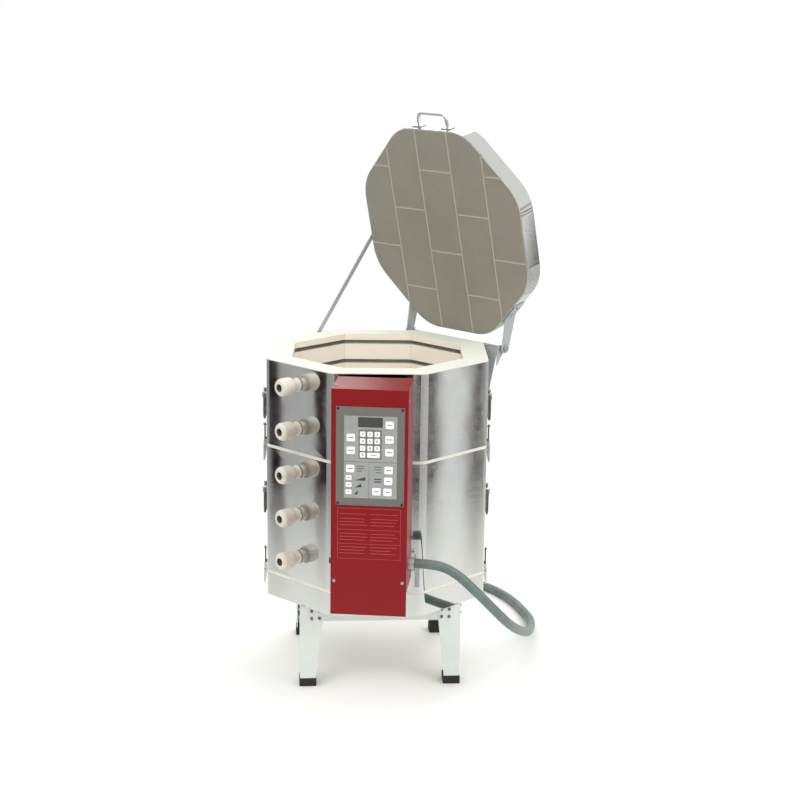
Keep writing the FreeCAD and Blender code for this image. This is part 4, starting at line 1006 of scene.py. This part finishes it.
def padTree():
    # a thin pad with round corners on every point, standing out along -y
    tree, given, result = nodeTree("printed keys", {
        "Width": ("Float", 0.01), "Height": ("Float", 0.01), "Corner": ("Float", 0.002),
        "Lift": ("Float", 0.0001), "Material": ("Material", None)})
    frameLine = addNode(tree, "GeometryNodeCurvePrimitiveQuadrilateral", {
        "Width": given["Width"], "Height": given["Height"]}).outputs[0]
    rounded = addNode(tree, "GeometryNodeFilletCurve", {"Curve": frameLine, "Radius": given["Corner"],
                                                        "Count": 5}, mode="POLY")
    sheet = addNode(tree, "GeometryNodeFillCurve", {"Curve": rounded.outputs[0]}, mode="NGONS")
    thick = addNode(tree, "GeometryNodeExtrudeMesh", {"Mesh": sheet.outputs[0], "Offset Scale": given["Lift"],
                                                      "Individual": False})
    upright = addNode(tree, "GeometryNodeTransform", {"Geometry": thick.outputs[0],
                                                      "Rotation": (math.pi / 2, 0, 0)})
    placed = addNode(tree, "GeometryNodeInstanceOnPoints", {"Points": given["Geometry"],
                                                            "Instance": upright.outputs[0]})
    real = addNode(tree, "GeometryNodeRealizeInstances", {0: placed.outputs[0]})
    done = addNode(tree, "GeometryNodeSetMaterial", {"Geometry": real.outputs[0],
                                                     "Material": given["Material"]})
    tree.links.new(done.outputs[0], result)
    return tree


pads = padTree()


def growPads(name, places, size, corner, lift, material, sink=0.05):
    mesh = bpy.data.meshes.new(name)
    mesh.from_pydata([onFilm(x, down, -sink) for x, down in places], [], [])
    made = grown(pads, carrierOf(mesh), {"Width": size[0] * mm, "Height": size[1] * mm,
                                         "Corner": corner * mm, "Lift": (lift + sink) * mm,
                                         "Material": material})
    made.transform(boxMatrix)
    addPiece(name, made, material, "control_box")


def makeKeypad():
    lifts = keySetup["lifts"]
    for name, at, size, corner in keySetup["grounds"]:
        growPads(name, [at], size, corner, lifts["ground"], keypadInk)
    wider, rounder = keySetup["rim"]
    for name in ("numbers", "enter", "side", "small"):
        part = keySetup[name]
        width, height = part["size"]
        # each key stands on a dark edge a little wider than itself, in the print ink: a printed outline that
        # also serves as painted shadow round the raised key
        growPads("keys_%s_rim" % name, part["at"], (width + wider, height + wider),
                 part["corner"] + rounder, lifts["rim"], printInk)
        growPads("keys_" + name, part["at"], (width, height), part["corner"], lifts["key"], keyFilm)
    name, at, size, corner = keySetup["display"]
    growPads(name, [at], size, corner, lifts["display"], printInk)

    bm = bmesh.new()

    def barInto(left, right, down, thick):
        low = onFilm(left, down + thick / 2, lifts["bar"])
        high = onFilm(right, down - thick / 2, lifts["sunk"])
        boxInto(bm, low, high)

    for bar in keySetup["bars"]:
        barInto(*bar)
    for left, right, down, rise in keySetup["ramps"]:
        corners = [(left, down), (right, down), (right, down - rise)]
        prismInto(bm, *[[onFilm(x, y, lift) for x, y in corners] for lift in (lifts["sunk"], lifts["ramp"])])
    # enter key: a bar in place of a word
    barInto(*keySetup["enterBar"])
    mesh = meshOf(bm, "keypad_print", matrix=boxMatrix)
    addPiece("keypad_print", mesh, printInk, "control_box")


def makeDigits():
    digitSetup = keySetup["digit"]
    bm = bmesh.new()
    for (x, down), digit in zip(keySetup["numbers"]["at"], "1234567890"):
        text = bpy.data.curves.new("digit", "FONT")
        text.body = digit
        text.size = digitSetup["size"] * mm
        text.extrude = digitSetup["extrude"] * mm
        text.align_x = "CENTER"
        text.align_y = "CENTER"
        text.resolution_u = 3
        mesh = plainMesh(carrierOf(text))
        mesh.transform(Matrix.Translation(onFilm(x, down, digitSetup["lift"]))
                       @ Matrix.Rotation(math.pi / 2, 4, "X"))
        bm.from_mesh(mesh)
    mesh = meshOf(bm, "keypad_digits", matrix=boxMatrix)
    addPiece("keypad_digits", mesh, printInk, "control_box")


panelSetup = {"left": -15.0, "right": 139.0, "rules": (232.0, 286.0, 322.0, 360.0), "line": 0.8,
              "rows": [246, 258, 266, 274, 296, 304, 312, 330, 338, 346], "split": 62.0}


def makePanelRules():
    # faint ruled block on the red front, with no words in it
    face = localBox("box_front_panel", boxMatrix)[0].y
    s, bm = panelSetup, bmesh.new()

    def bar(left, right, down, thick):
        low, high = onFilm(left, down + thick / 2), onFilm(right, down - thick / 2)
        boxInto(bm, (low.x, face - 0.07 * mm, low.z), (high.x, face + 0.05 * mm, high.z))

    for down in s["rules"]:
        bar(s["left"], s["right"], down, s["line"])
    top, bottom = s["rules"][0], s["rules"][-1]
    for x in (s["left"], s["right"]):
        bar(x - s["line"] / 2, x + s["line"] / 2, (top + bottom) / 2, bottom - top)
    chance = random.Random(7)
    for down in s["rows"]:
        bar(s["left"] + 4, s["split"] - chance.uniform(4, 16), down, 1.1)
        bar(s["split"] + 3, s["right"] - chance.uniform(4, 24), down, 1.1)
    mesh = meshOf(bm, "panel_rules", matrix=boxMatrix)
    addPiece("panel_rules", mesh, palePrint, "control_box")


makeKeypad()
makeDigits()
makePanelRules()
print("keypad made")
